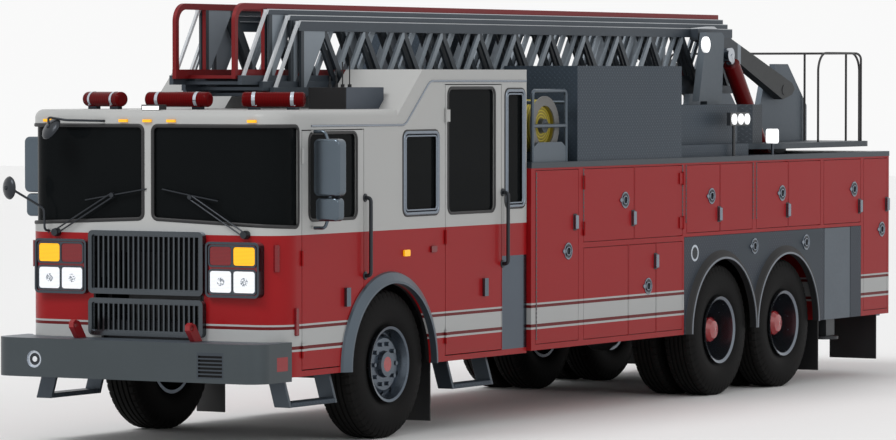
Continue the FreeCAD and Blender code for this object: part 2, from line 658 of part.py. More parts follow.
def make_grille():
    y0 = CAB_FRONT - GRILLE_STAND
    y1 = CAB_FRONT + CAB_BOW
    skin = cab_solid(0, CAB_BOTTOM, CAB_ROOF)
    frames = []
    x0, x1 = -GRILLE_HALF + GRILLE_RIM, GRILLE_HALF - GRILLE_RIM
    pitch = (x1 - x0 - BAR_WIDTH) / (GRILLE_BARS + 1)
    for z0, z1 in ((GRILLE_Z[0], GRILLE_SPLIT[0]), (GRILLE_SPLIT[1], GRILLE_Z[1])):
        plate = rounded((-GRILLE_HALF, GRILLE_HALF), (y0, y1), (z0, z1), 40, "y")
        inside = (z0 + GRILLE_RIM, z1 - GRILLE_RIM)
        slots = [rounded((x0, x1), (y0 - 1, y0 + GRILLE_SINK), inside, 20, "y")]
        for k in range(GRILLE_BARS + 1):
            x = x0 + BAR_WIDTH + k * pitch
            across = (x, x + pitch - BAR_WIDTH)
            slots.append(box(across, (y0 - 1, y1 + 1), (inside[0] + 10, inside[1] - 10)))
        frames.append(plate.cut(slots + [skin]))
    return frames


DRIP_R = 9.0
DRIP_LINE = ((-1212.0, 2534.0), (249.0, 2529.0), (655.0, 2885.0), (CAB_REAR - 12, 2884.0))
WIPER = (890.0, 1690.0)      # pivot of a wiper, x and z
WIPER_TIP = (640.0, 2130.0)
WIPER_PAIR = 16.0            # half the spacing of its two arms
WIPER_BLADE = 330.0          # half length
WIPER_Y = CAB_FRONT - 22.0


def make_cab_fittings():
    """Grab rails, wiper arms, the bright drip mouldings and the front corner's mirror."""
    solids = []
    for y, z0, z1 in ((-308.0, 1316.0, 2093.0), (1971.0, 1333.0, 1948.0)):
        rail = tube_path([(CAB_HALF, y, z0), (CAB_HALF + 75, y, z0), (CAB_HALF + 75, y, z1),
                          (CAB_HALF, y, z1)], 16, 30)
        solids += both(rail)
    x = CAB_HALF
    drip = tube_path([(x, y, z) for y, z in DRIP_LINE], DRIP_R, 60)
    solids += both(drip.cut(box((0, x), (-2000, CAB_REAR), (2400, POD_TOP))))
    arms = []
    tip_x, tip_z = WIPER_TIP
    for shift in (-WIPER_PAIR, WIPER_PAIR):
        arms.append(rod((WIPER[0] + shift, WIPER_Y, WIPER[1]), (tip_x + shift, WIPER_Y, tip_z), 7))
    blade = rod((tip_x - 60, WIPER_Y + 8, tip_z - WIPER_BLADE), (tip_x + 60, WIPER_Y + 8, tip_z + WIPER_BLADE), 9)
    pivot = cyl((WIPER[0], CAB_FRONT + CAB_BOW, WIPER[1]), (0, WIPER_Y - CAB_FRONT - CAB_BOW, 0), 34)
    skin = cab_solid(0, CAB_BOTTOM, CAB_ROOF)
    solids += both(fuse(arms + [blade, pivot]).cut(skin))
    # wide-angle mirror on the officer's front corner
    stalk = rod((-980, CAB_FRONT + CAB_BOW, 1700), (-1100, -1965, 2010), 11)
    dish = cyl((-1110, -1990, 2040), (0, 28, 8), 95)
    solids.append(fuse([stalk, dish]).cut(skin))
    return solids


def make_steps():
    solids = []
    for y0, y1 in ((-1560.0, -830.0), (880.0, 1780.0)):
        outer = CAB_HALF - 5
        tread = box((outer - 255, outer), (y0 + 98, y1 - 53), STEP_Z)
        foot = STEP_Z[1]
        leg = (outer - 40, outer)
        front = prism([(y0, CAB_BOTTOM), (y0 + 98, foot), (y0 + 155, foot), (y0 + 50, CAB_BOTTOM)], "x", *leg)
        rear = prism([(y1, CAB_BOTTOM), (y1 - 53, foot), (y1 - 105, foot), (y1 - 50, CAB_BOTTOM)], "x", *leg)
        for part in (tread, front, rear):
            solids += both(part)
    return solids


def make_arch_flares():
    a = CAB_HALF
    ring = revolve_x([(a, ARCH_R), (a + FLARE_OUT, ARCH_R), (a + FLARE_OUT, ARCH_R + 20),
                      (a + 20, ARCH_R + ARCH_FLARE - 8), (a, ARCH_R + ARCH_FLARE)], 0, ARCH_Z)
    ring = ring.cut(box((a - 1, a + FLARE_OUT + 1), (-900, 900), (-400, CAB_BOTTOM)))
    return both(ring)


# ---------------------------------------------------------------- bumper and front lamps
BUMPER_Z = (548.0, 855.0)
BUMPER_HALF = BODY_HALF
BUMPER_R = 160.0
BUMPER_BACK = -1560.0
EYE_X = 545.0
BUMPER_WALL = 25.0
BUMPER_TOP = 10.0            # thickness of its top plate
RECESS = 12.0
BUMPER_LAMP = (-849.0, 688.0, 67.0)              # x, z and radius of its recess
BUMPER_LOUVRE = (693.0, 913.0, 594.0, 773.0)     # x and z ranges
LOUVRE_SLOTS = 6


def bumper_plan(inset):
    half = BUMPER_HALF - inset
    front = BUMPER_FRONT + inset
    r = BUMPER_R - inset
    k = r * (1 - math.sqrt(0.5))
    back = BUMPER_BACK + (1 if inset else 0)
    edges = [
        Part.LineSegment(V(-half, back, 0), V(-half, front + r, 0)).toShape(),
        Part.Arc(V(-half, front + r, 0), V(-half + k, front + k, 0), V(-half + r, front, 0)).toShape(),
        Part.LineSegment(V(-half + r, front, 0), V(half - r, front, 0)).toShape(),
        Part.Arc(V(half - r, front, 0), V(half - k, front + k, 0), V(half, front + r, 0)).toShape(),
        Part.LineSegment(V(half, front + r, 0), V(half, back, 0)).toShape(),
        Part.LineSegment(V(half, back, 0), V(-half, back, 0)).toShape(),
    ]
    return Part.Face(Part.Wire(edges))


def make_bumper():
    low, high = BUMPER_Z
    outer = bumper_plan(0).extrude(V(0, 0, high - low))
    outer.translate(V(0, 0, low))
    inner = bumper_plan(BUMPER_WALL).extrude(V(0, 0, high - low - BUMPER_TOP + 1))
    inner.translate(V(0, 0, low - 1))
    lamp, louvre = BUMPER_LAMP, BUMPER_LOUVRE
    recesses = [cyl((lamp[0], BUMPER_FRONT - 1, lamp[1]), (0, RECESS + 1, 0), lamp[2])]
    slat = (louvre[3] - louvre[2]) / LOUVRE_SLOTS
    for k in range(LOUVRE_SLOTS):
        z = louvre[2] + k * slat
        recesses.append(box(louvre[:2], (BUMPER_FRONT - 1, BUMPER_FRONT + RECESS), (z, z + slat * 0.6)))
    ring = outer.cut([inner, cab_solid(-25, low - 5, high + 5)] + recesses)
    side = BUMPER_HALF - BUMPER_R
    under = high - BUMPER_TOP
    brow = CAB_FRONT - BUMPER_WALL
    corner = CAB_HALF - CAB_CORNER_R
    cells = [box((-2000, 2000), (-3000, brow), (under, high + 1))]
    cells += both(box((corner, 2000), (-3000, 0), (under, high + 1)))
    cells.append(box((-2000, 2000), (-3000, 0), (under, high + 1)))
    cells += both(box((side, 2000), (-3000, 0), (low, high)))
    walls = split(ring, cells)
    reach = (BUMPER_FRONT + BUMPER_WALL, FRAME_FRONT - SEAT)
    mounts = both(box((RAIL_X - RAIL_FLANGE, RAIL_X), reach, (600, high - BUMPER_TOP)))
    eyes = []
    for s in (-1, 1):
        plate = prism([(-1790, high), (-1900, high), (-1975, 945), (-1975, 985), (-1940, 1005),
                       (-1890, 990)], "x", s * EYE_X - 22, s * EYE_X + 22)
        eyes.append(plate.cut(cyl((s * EYE_X - 30, -1936, 962), (60, 0, 0), 24)))
    return walls + mounts + eyes


BEZEL_X = (561.0, 1055.0)
BEZEL_Z = (1197.0, 1633.0)
BEZEL_RIM = 18.0
BEZEL_STAND = 42.0
LAMP_FRAMES = ((1222.0, 1420.0), (1436.0, 1608.0))
FLOOD_Y = (6268.0, 6404.0, 6534.0)
FLOOD_X = (BODY_HALF - 80.0, BODY_HALF - 40.0)
FLOOD_Z = (2470.0, 2590.0)
FLOOD_R = 50.0
FLOOD_POLE = 14.0
SINGLE_Y = (7030.0, 7165.0)   # box lamp behind the triple one
SINGLE_Z = (2295.0, 2432.0)
# small markers on the cab's sides and corners: x, y, z middle, then half sizes
MARKERS = (
    (1208.0, 265.0, 1490.0, 16.0, 45.0, 26.0),
    (1208.0, 704.0, 1508.0, 16.0, 45.0, 26.0),
    (1200.0, -1440.0, 1006.0, 26.0, 20.0, 108.0),
)


def make_lamps():
    """Headlamp clusters, marker lamps and the deck's flood lamps."""
    solids = []
    skin = cab_solid(0, 800, 1700)
    x0, x1 = BEZEL_X
    z0, z1 = BEZEL_Z
    face = CAB_FRONT - BEZEL_STAND
    floor = face + 20
    bezel = rounded(BEZEL_X, (face, CAB_FRONT + 60), BEZEL_Z, 40, "y")
    bezel = bezel.cut(rounded((x0 + BEZEL_RIM, x1 - BEZEL_RIM), (face - 1, floor),
                              (z0 + BEZEL_RIM, z1 - BEZEL_RIM), 26, "y"))
    frames = []
    pockets = []
    lenses = []
    middle = (x0 + x1) / 2
    for low, high in LAMP_FRAMES:
        frames.append(rounded((x0 + 26, x1 - 26), (face + 4, floor + 1), (low, high), 30, "y"))
        for a, b in ((x0 + 38, middle - 8), (middle + 8, x1 - 38)):
            pockets.append(rounded((a, b), (face, floor - 1), (low + 12, high - 12), 24, "y"))
            lenses.append(rounded((a + 3, b - 3), (face + 7, floor - 1), (low + 15, high - 15), 22, "y"))
    bezel = fuse([bezel] + frames).cut(pockets + [skin])
    solids += both(bezel)
    for lens in lenses:
        solids += both(lens)
    for x in (-960.0, -225.0, 0.0, 225.0, 960.0):
        y = CAB_FRONT + 15 if abs(x) < 500 else CAB_FRONT + 35
        lamp = box((x - 38, x + 38), (y - 35, y + 40), (2562, 2584)).cut(cab_solid(0, 2500, CAB_ROOF))
        solids.append(lamp)
    # tall marker wrapped round each front corner
    corner = CAB_CORNER_R * math.sqrt(0.5)
    x = CAB_HALF - CAB_CORNER_R + corner
    y = CAB_FRONT + CAB_BOW + CAB_CORNER_R - corner
    solids += both(cyl((x, y, 1402), (0, 0, 210), 24).cut(cab_solid(0, 1300, 1700)))
    for x, y, z, a, b, c in MARKERS:
        marker = rounded((x - a, x + a), (y - b, y + b), (z - c, z + c), 10, "x")
        solids += both(marker.cut(skin))
    inner, outer = FLOOD_X
    x, y = inner + 25, FLOOD_Y[0] + 30
    pole = rod((x, y, DECK_TOP), (x, y, FLOOD_Z[0] + 10), FLOOD_POLE)
    case = box(FLOOD_X, (FLOOD_Y[0] - 62, FLOOD_Y[-1] + 62), FLOOD_Z)
    faces = [cyl((outer - 5, y, FLOOD_Z[1] - 61), (20, 0, 0), FLOOD_R) for y in FLOOD_Y]
    x, y = outer - 5, sum(SINGLE_Y) / 2 + 2.5
    short = rod((x, y, DECK_TOP), (x, y, SINGLE_Z[0] + 5), FLOOD_POLE)
    single = rounded((inner, outer + 30), SINGLE_Y, SINGLE_Z, 30, "x")
    solids += both(fuse([pole, case] + faces)) + both(fuse([short, single]))
    return solids


BEACON_R = 60.0
BEACON_Z = LADDER[1]["bottom"] - GAP - BEACON_R - 3


BEACON_BAND = 2.0            # how far the bright bands stand off the beacon


def make_light_bars():
    solids = []
    for x, y, length, turn in ((0.0, -1250.0, 590.0, 0.0), (800.0, -1110.0, 500.0, 22.0),
                               (-800.0, -1110.0, 500.0, -22.0)):
        dx = math.cos(math.radians(turn))
        dy = math.sin(math.radians(turn))
        half = length / 2
        z = BEACON_Z
        bar = rod((x - dx * half, y - dy * half, z), (x + dx * half, y + dy * half, z), BEACON_R)
        rims = [e for e in bar.Edges if e.Closed]
        parts = [bar.makeFillet(22, rims)]
        for k in (-0.62 * half, 0.62 * half):
            cx = x + k * dx
            cy = y + k * dy
            parts.append(rod((cx - 14 * dx, cy - 14 * dy, z), (cx + 14 * dx, cy + 14 * dy, z),
                             BEACON_R + BEACON_BAND))
            parts.append(box((cx - 40, cx + 40), (cy - 30, cy + 30), (CAB_ROOF, BEACON_Z - 30)))
        solids.append(fuse(parts))
    return solids


CASE_TOP = 2835.0
ANTENNAS = ((-220.0, 90.0), (-120.0, 155.0), (-20.0, 205.0), (90.0, 245.0))     # y and height


def make_roof_equipment():
    case = rounded((640, 1000), (-330, 270), (CAB_ROOF, CASE_TOP), 12, "z")
    case = case.cut(fuse(pods(0)))
    antennas = []
    for y, height in ANTENNAS:
        antennas.append(fuse([rod((780, y, CASE_TOP), (780, y, CASE_TOP + height), 5),
                              rod((780, y, CASE_TOP), (780, y, CASE_TOP + 24), 16)]))
    flood = box((-85, 85), (-1660, -1560), (CAB_ROOF - 40, 2700)).cut(cab_solid(0, 2500, CAB_ROOF))
    return [case] + antennas + [flood]


# ---------------------------------------------------------------- body
# compartment leaves on each side: hinge y, seam y, bottom, top
LEAVES = {
    "tall_front": (2385.0, 3162.0, 640.0, 2125.0),
    "upper_front": (3254.0, 4204.0, UPPER_SILL + 5, 2125.0),
    "upper_front_rear": (4214.0, 5149.0, UPPER_SILL + 5, 2125.0),
    "lower_front": (3254.0, 4090.0, 640.0, LOWER_LEAF_TOP),
    "lower_mid": (4100.0, 4622.0, 640.0, LOWER_LEAF_TOP),
    "lower_rear": (4632.0, 5149.0, 640.0, LOWER_LEAF_TOP),
    "upper_mid": (5230.0, 5903.0, UPPER_SILL + 25, 2125.0),
    "upper_mid_rear": (5913.0, 6583.0, UPPER_SILL + 25, 2125.0),
    "upper_rear": (6665.0, 7348.0, UPPER_SILL + 25, 2125.0),
    "upper_rear_rear": (7358.0, 8064.0, UPPER_SILL + 25, 2125.0),
    "upper_last": (8133.0, 8977.0, UPPER_SILL + 25, 2125.0),
    "tall_rear": (9043.0, 9600.0, 640.0, 2125.0),
}
MOVING_LEAVES = ("upper_front", "upper_front_rear")
LEAF_GAP = 6.0
COMPARTMENT_IN = 640.0


def leaf(name, side):
    y0, y1, z0, z1 = LEAVES[name]
    g = LEAF_GAP
    slab = box((BODY_HALF - LEAF + SEAT, BODY_HALF), (y0 + g, y1 - g), (z0 + g, z1 - g))
    if name in MOVING_LEAVES:
        edge, way = (y0, 1) if name == "upper_front" else (y1, -1)
        slab = fuse([slab] + hinges(BODY_HALF, edge, way, (z0 + 120, z1 - 120)))
    return slab if side > 0 else mirrored(slab)


def make_body():
    shell = box((-BODY_HALF, BODY_HALF), (BODY_FRONT, REAR_END), (BODY_BOTTOM, BODY_TOP))
    cuts = [box((-560, 560), (BODY_FRONT - 1, REAR_END + 1), (BODY_BOTTOM - 1, RAIL_Z[1] + SEAT)),
            box((-560, 560), (PEDESTAL_Y[0] - 30, PEDESTAL_Y[1] + 30), (RAIL_Z[1], 1860)),
            cyl((0, SLEW_Y, 1760), (0, 0, 500), WELL_TURN_R)]
    side = [box((555, BODY_HALF + 1), (PANEL_Y[0], 8090), (BODY_BOTTOM - 1, 1370)),
            box((BODY_HALF - LEAF, BODY_HALF + 1), PANEL_Y, (BODY_BOTTOM - 1, LOWER_TOP)),
            box((555, BODY_HALF + 1), (OUTRIGGER_Y[0], OUTRIGGER_Y[1]), (BODY_BOTTOM - 1, LOWER_TOP)),
            box((COMPARTMENT_IN, BODY_HALF - LEAF + 1), (3280, 5120), (UPPER_SILL + 30, 2100))]
    for y0, y1, z0, z1 in LEAVES.values():
        side.append(box((BODY_HALF - LEAF, BODY_HALF + 1), (y0, y1), (z0, z1)))
    for shape in side:
        cuts += both(shape)
    far = 20000.0
    core = BODY_HALF - LEAF
    floor = RAIL_Z[1] + SEAT
    locker_low, locker_high = UPPER_SILL + 30, 2100
    rear_arch = 1370
    cells = both(box((core, far), (0, far), (2125, far)))
    for y in ((0, 3254), (5149, far)):
        cells += both(box((core, far), y, (UPPER_SILL, far)))
    cells += both(box((core, far), (0, far), (UPPER_SILL, far)))
    for y in ((0, PANEL_Y[0]), (PANEL_Y[1], far)):
        cells += both(box((core, far), y, (0, far)))
    # behind the skin, from the cab rearwards: end y and the heights at which the core is parted
    rows = ((3280, (floor, far)), (5120, (floor, locker_low, locker_high, far)), (PANEL_Y[0], (floor, far)),
            (7620, (rear_arch, 1760, far)), (8090, (rear_arch, 1760, far)), (OUTRIGGER_Y[0], (1760, far)),
            (OUTRIGGER_Y[1], (1760, far)), (8980, (1760, far)), (far, (floor, far)))
    for end, heights in rows:
        for top in heights:
            cells.append(box((-far, far), (0, end), (0, top)))
    return split(shell.cut(cuts), cells)


def make_fixed_leaves():
    solids = []
    for name in LEAVES:
        if name not in MOVING_LEAVES:
            solids += [leaf(name, 1), leaf(name, -1)]
    return solids


def make_wheel_panels():
    """Treadplate panel round the rear wheels with its two rubber arches."""
    x0, x1 = BODY_HALF - LEAF, BODY_HALF
    panel = box((x0, x1), (PANEL_Y[0] + 3, PANEL_Y[1] - 3), (BODY_BOTTOM, LOWER_TOP - 3))
    rings = []
    holes = []
    for y in REAR_AXLES:
        rings.append(revolve_x([(x0, REAR_ARCH_R), (x1 + 45, REAR_ARCH_R), (x1 + 38, REAR_ARCH_R + 40),
                                (x1, REAR_ARCH_R + REAR_FLARE), (x0, REAR_ARCH_R + REAR_FLARE)], y, HUB_Z))
        holes.append(cyl((x0 - 50, y, HUB_Z), (200, 0, 0), REAR_ARCH_R))
    out = fuse([panel] + rings)
    out = out.cut(holes + [box((x0 - 60, x1 + 60), (5000, 9200), (-200, BODY_BOTTOM)),
                           box((x0 - 1, x1 + 60), (OUTRIGGER_Y[0] - GAP, OUTRIGGER_Y[1] + GAP), (0, 2000))])
    return both(out)


def make_deck():
    plate = box((-BODY_HALF - 5, BODY_HALF + 5), (BODY_FRONT, REAR_END), (BODY_TOP, DECK_TOP))
    return plate.cut(cyl((0, SLEW_Y, BODY_TOP - 1), (0, 0, 100), WELL_TURN_R))


HOSE_BED = (5170.0, 6660.0)
HOSE_BED_TOP = 2660.0


WALKWAY = (1150.0, 2300.0)    # half width and height of the ledge along the hose bed
DECK_BOX = (510.0, BODY_HALF - 10.0)
REST_Y = (2600.0, 2700.0)    # rest of the bedded ladder behind the cab


def make_deck_boxes():
    x0, x1 = DECK_BOX
    left = box((x0, x1), (3160, 5150), (DECK_TOP, 3015))
    right = box((-x1, -x0), (3560, 5150), (DECK_TOP, 3310))
    bed = box((-1050, 1050), HOSE_BED, (DECK_TOP, HOSE_BED_TOP))
    trough = box((-800, 800), (HOSE_BED[0] + 60, HOSE_BED[1] - 60), (2300, 2700))
    bed = bed.cut(trough)
    ledges = both(box((1050, WALKWAY[0]), (HOSE_BED[0] - 10, HOSE_BED[1] + 30), (DECK_TOP, WALKWAY[1])))
    posts = both(box((380, 460), REST_Y, (DECK_TOP, 2700)))
    beam = box((-446, 446), REST_Y, (2700, LADDER[0]["bottom"] - SEAT))
    guides = both(box((446, 474), REST_Y, (2700, 2860)))
    return [left, right, bed, beam] + ledges + posts + guides


REEL = (2750.0, 2500.0)      # axis of the hose reel, y and z
REEL_X = (750.0, 1140.0)
REEL_R = 255.0
REEL_HOSE_R = 225.0
REEL_MOUTH_R = 172.0         # hole in the outer flange, where the hose shows
REEL_FRAME = (2450.0, 3050.0, 2800.0)        # its ends and its top
REEL_TUBE = 16.0
REEL_SIDE = 40.0             # from a flange to the frame's side


def make_reel_frame():
    rails = []
    y0, y1, top = REEL_FRAME
    sides = (REEL_X[0] - REEL_SIDE, REEL_X[1] + REEL_SIDE)
    for x in sides:
        loop = [(x, y0, DECK_TOP), (x, y0, top), (x, y1, top), (x, y1, DECK_TOP)]
        rails.append(tube_path(loop, REEL_TUBE, 40))
        rails.append(rod((x, y0, REEL[1]), (x, y1, REEL[1]), REEL_TUBE))
        shoulder, brow = DECK_TOP + 110, DECK_TOP + 170
        rails.append(prism([(y0 - 20, DECK_TOP), (y1 + 20, DECK_TOP), (y1 + 20, shoulder), (y1 - 90, brow),
                            (y0 + 90, brow), (y0 - 20, shoulder)], "x", x - 8, x + 8))
    for y in (y0, y1):
        rails.append(rod((sides[0], y, top - 100), (sides[1], y, top - 100), REEL_TUBE))
    axle = rod((sides[0], REEL[0], REEL[1]), (sides[1], REEL[0], REEL[1]), 20)
    return fuse(rails + [axle])


def make_reel_drum():
    a, b = REEL_X
    bore = 20 + FIT
    flange = 12
    sink = 40
    return revolve_x([(a, bore), (a, REEL_R), (a + flange, REEL_R), (a + flange, REEL_HOSE_R),
                      (b - flange, REEL_HOSE_R), (b - flange, REEL_R), (b, REEL_R), (b, REEL_MOUTH_R),
                      (b - sink, REEL_MOUTH_R), (b - sink, 60), (b, 60), (b, bore)], REEL[0], REEL[1])


def make_mud_flaps():
    solids = []
    for y0, x0, x1, z0, z1 in ((770.0, 860.0, 1140.0, 90.0, CAB_FLOOR[0] - SEAT),
                               (8105.0, 600.0, 1200.0, 110.0, BODY_BOTTOM - SEAT),
                               (9440.0, 700.0, 1200.0, 150.0, BODY_BOTTOM - SEAT)):
        solids += both(box((x0, x1), (y0, y0 + 12), (z0, z1)))
    return solids


def make_rear_fittings():
    step = box((-1100, 1100), (REAR_END, REAR_END + REAR_STEP), (560, 600))
    lamps = both(box((1060, 1200), (REAR_END, REAR_END + 40), (1150, 1700)))
    return [step] + lamps


# ---------------------------------------------------------------- turntable
PLATFORM_Y = (6880.0, 9500.0)
PLATFORM_HALF = 1150.0
PLATFORM_Z = (2240.0, 2292.0)
RAIL_TOP = 3150.0            # operator's guard rails
GUARD_R = 11.0
GUARD_POSTS = (440.0, 889.0)
CHEEK_X = 390.0
CYLINDER_X = 600.0
CYLINDER_FOOT = (8280.0, 1990.0)
CYLINDER_EYE = (7370.0, 3127.0)
BARREL_R = 80.0
BARREL_BORE = 52.0
ROD_R = 45.0
FOOT_PIN_R = 35.0
FORK = 22.0                  # thickness of the plates that hold a cylinder's foot
FORK_HALF = BARREL_R + GAP + FORK / 2
EYE_PLATE = (560.0, 640.0)


def platform():
    y0, y1 = PLATFORM_Y
    rear = rounded((-PLATFORM_HALF, PLATFORM_HALF), (SLEW_Y - 700, y1), PLATFORM_Z, 200, "z")
    front = rounded((-PLATFORM_HALF, PLATFORM_HALF), (y0, SLEW_Y + 700), PLATFORM_Z, 600, "z")
    return rear.fuse(front).removeSplitter()


def make_turntable():
    base = cyl((0, SLEW_Y, PEDESTAL_TOP + 60 + SEAT), (0, 0, 160 - SEAT), 500)
    frame = box((-430, 430), (7700, 9000), (2000, PLATFORM_Z[0]))
    slots = []
    holders = []
    for s in (-1, 1):
        brackets = []
        slots.append(box((s * CYLINDER_X - 95, s * CYLINDER_X + 95), (7890, 8460),
                         (PLATFORM_Z[0] - 1, PLATFORM_Z[1] + 1)))
        for off in (-FORK_HALF, FORK_HALF):
            x = s * CYLINDER_X + off
            brackets.append(box((x - FORK / 2, x + FORK / 2), (8180, 8380), (1920, PLATFORM_Z[0])))
        near = CYLINDER_X - FORK_HALF
        x0, x1 = sorted((s * 430, s * near))
        brackets.append(box((x0, x1), (8200, 8360), (2020, PLATFORM_Z[0])))
        pin_from = (s * near, CYLINDER_FOOT[0], CYLINDER_FOOT[1])
        brackets.append(cyl(pin_from, (s * 2 * FORK_HALF, 0, 0), FOOT_PIN_R))
        holders.append(fuse(brackets).cut(base))
    plate = platform().cut(slots)
    top = PLATFORM_Z[1]
    rear = PLATFORM_Y[1]
    outline = [(8250, top), (rear - 10, top), (rear - 10, 2640), (9060, 3045), (8770, 3045), (8740, 2870),
               (8530, 2870), (8420, 2600), (8250, 2540)]
    cheeks = []
    for s in (-1, 1):
        cheek = prism(outline, "x", s * CHEEK_X - 30, s * CHEEK_X + 30)
        cheeks.append(cheek.cut(cyl((s * CHEEK_X - 40, PIVOT[0], PIVOT[1]), (80, 0, 0), PIVOT_R + FIT)))
    cross = box((-CHEEK_X + 30, CHEEK_X - 30), (9100, 9140), (top, 2600))
    horn = [(6890, top), (7170, top), (7250, 3300), (7200, 3338), (6880, 3338), (6720, 2690), (6890, 2690)]
    horns = []
    for s in (-1, 1):
        x0, x1 = sorted((s * 550, s * 620))
        lamp = cyl((s * 619, 6835, 3222), (s * 26, 0, 0), 75)
        horns.append(fuse([prism(horn, "x", x0, x1), lamp]))
    step = [(700, 6900), (850, 6962), (1000, 7085), (1000, 7290), (700, 7290)]
    steps = both(prism(step, "z", top, HOSE_BED_TOP))
    rails = []
    side = PLATFORM_HALF - 100
    back = rear - 100
    for x in (-side, side):
        rails.append(tube_path([(x, 8419, top), (x, 8419, RAIL_TOP), (x, back - 40, RAIL_TOP),
                                (x, back - 40, top)], GUARD_R, 180))
    rear_loop = [(-side, back, top), (-side, back, RAIL_TOP), (side, back, RAIL_TOP), (side, back, top)]
    posts = []
    for x in GUARD_POSTS:
        posts += both(rod((x, back, top), (x, back, RAIL_TOP), GUARD_R))
    rails.append(fuse([tube_path(rear_loop, GUARD_R, 60)] + posts))
    return [base, frame, plate, cross] + holders + cheeks + horns + steps + rails


def unit(a, b):
    d = math.hypot(b[0] - a[0], b[1] - a[1])
    return ((b[0] - a[0]) / d, (b[1] - a[1]) / d, d)


def make_barrels():
    solids = []
    uy, uz, length = unit(CYLINDER_FOOT, CYLINDER_EYE)
    for s in (-1, 1):
        x = s * CYLINDER_X
        foot = (x, CYLINDER_FOOT[0], CYLINDER_FOOT[1])
        start = (x, foot[1] + uy * 70, foot[2] + uz * 70)
        end = (x, foot[1] + uy * (length - 110), foot[2] + uz * (length - 110))
        gland = (x, foot[1] + uy * (length - 180), foot[2] + uz * (length - 180))
        tube = rod(start, end, BARREL_R)
        eye = cyl((x - BARREL_R - 2, foot[1], foot[2]), (2 * BARREL_R + 4, 0, 0), 75)
        bore_start = (x, foot[1] + uy * 130, foot[2] + uz * 130)
        past = (x, foot[1] + uy * length, foot[2] + uz * length)
        pin_hole = cyl((x - 100, foot[1], foot[2]), (200, 0, 0), FOOT_PIN_R + FIT)
        body = fuse([tube, eye]).cut(pin_hole)
        body = body.cut(rod(bore_start, past, ROD_R + SEAT)).cut(rod(bore_start, gland, BARREL_BORE))
        solids.append(body)
    return solids


def make_rods():
    solids = []
    uy, uz, length = unit(CYLINDER_FOOT, CYLINDER_EYE)
    for s in (-1, 1):
        x = s * CYLINDER_X
        eye_y, eye_z = CYLINDER_EYE
        eye = cyl((x - 38, eye_y, eye_z), (76, 0, 0), 68)
        low = (x, CYLINDER_FOOT[0] + uy * 150, CYLINDER_FOOT[1] + uz * 150)
        solids.append(fuse([rod(low, (x, eye_y, eye_z), ROD_R), eye]))
    return solids


# ---------------------------------------------------------------- ladder
def head_loop(x, y, z, radius):
    """Upright loop in a plane of constant x whose upper front corner is round."""
    (y0, y1), (z0, z1) = y, z
    k = radius * (1 - math.sqrt(0.5))
    edges = [
        Part.LineSegment(V(x, y1, z0), V(x, y0, z0)).toShape(),
        Part.LineSegment(V(x, y0, z0), V(x, y0, z1 - radius)).toShape(),
        Part.Arc(V(x, y0, z1 - radius), V(x, y0 + k, z1 - k), V(x, y0 + radius, z1)).toShape(),
        Part.LineSegment(V(x, y0 + radius, z1), V(x, y1, z1)).toShape(),
        Part.LineSegment(V(x, y1, z1), V(x, y1, z0)).toShape(),
    ]
    return Part.Wire(edges)


def fly_head(row, x0, x1):
    """Upright frame that closes the fly section's front."""
    front = row["front"]
    back = front + HEAD_BAY + 2 * HEAD_POST
    outer = head_loop(x0, (front, back), (row["bottom"], row["top"]), HEAD_R)
    inner = head_loop(x0, (front + HEAD_POST, back - HEAD_POST),
                      (row["bottom"] + SIDE_RAIL[1], row["top"] - row["hand"]), HEAD_R - HEAD_POST)
    face = Part.makeFace([outer, inner], "Part::FaceMakerBullseye")
    return face.extrude(V(x1 - x0, 0, 0))


def truss_start(row):
    """Where the regular bays of a section's lattice begin."""
    if row["rake"]:
        return row["front"] + row["rake"] + 2 * HEAD_POST
    return row["front"] + HEAD_BAY + 2 * HEAD_POST


def truss_side(row, x0, x1):
    """Lattice side of a ladder section: a plate with triangular windows between its two rails."""
    low = row["bottom"] + 10
    high = row["top"] - 10
    front, rear, rake = row["front"], row["rear"], row["rake"]
    start = truss_start(row)
    foot = front if rake else start - 1
    outline = [V(x0, foot, low), V(x0, rear, low), V(x0, rear, high), V(x0, foot + rake, high)]
    wires = [Part.makePolygon(outline + [outline[0]])]
    bottom = row["bottom"] + SIDE_RAIL[1] - 2
    top = row["top"] - row["hand"] + 2
    if rake:
        lean = rake / (high - low)
        head = [V(x0, front + lean * (bottom - low) + HEAD_BAR, bottom), V(x0, start - HEAD_POST, bottom),
                V(x0, start - HEAD_POST, top), V(x0, front + lean * (top - low) + HEAD_BAR, top)]
        wires.append(Part.makePolygon(head + [head[0]]))
    pitch = (rear - start - LATTICE_END) / BAYS
    half = pitch / 2
    foot_gap = LATTICE_BAR * 0.7
    tip = LATTICE_BAR * 1.1
    for k in range(BAYS):
        y = start + k * pitch
        tri_up = [V(x0, y + foot_gap, bottom), V(x0, y + pitch - foot_gap, bottom),
                  V(x0, y + half, top - tip)]
        wires.append(Part.makePolygon(tri_up + [tri_up[0]]))
        if k < BAYS - 1:
            tri_down = [V(x0, y + half + foot_gap, top), V(x0, y + half + pitch - foot_gap, top),
                        V(x0, y + pitch, bottom + tip)]
            wires.append(Part.makePolygon(tri_down + [tri_down[0]]))
    face = Part.makeFace(wires, "Part::FaceMakerBullseye")
    return face.extrude(V(x1 - x0, 0, 0))


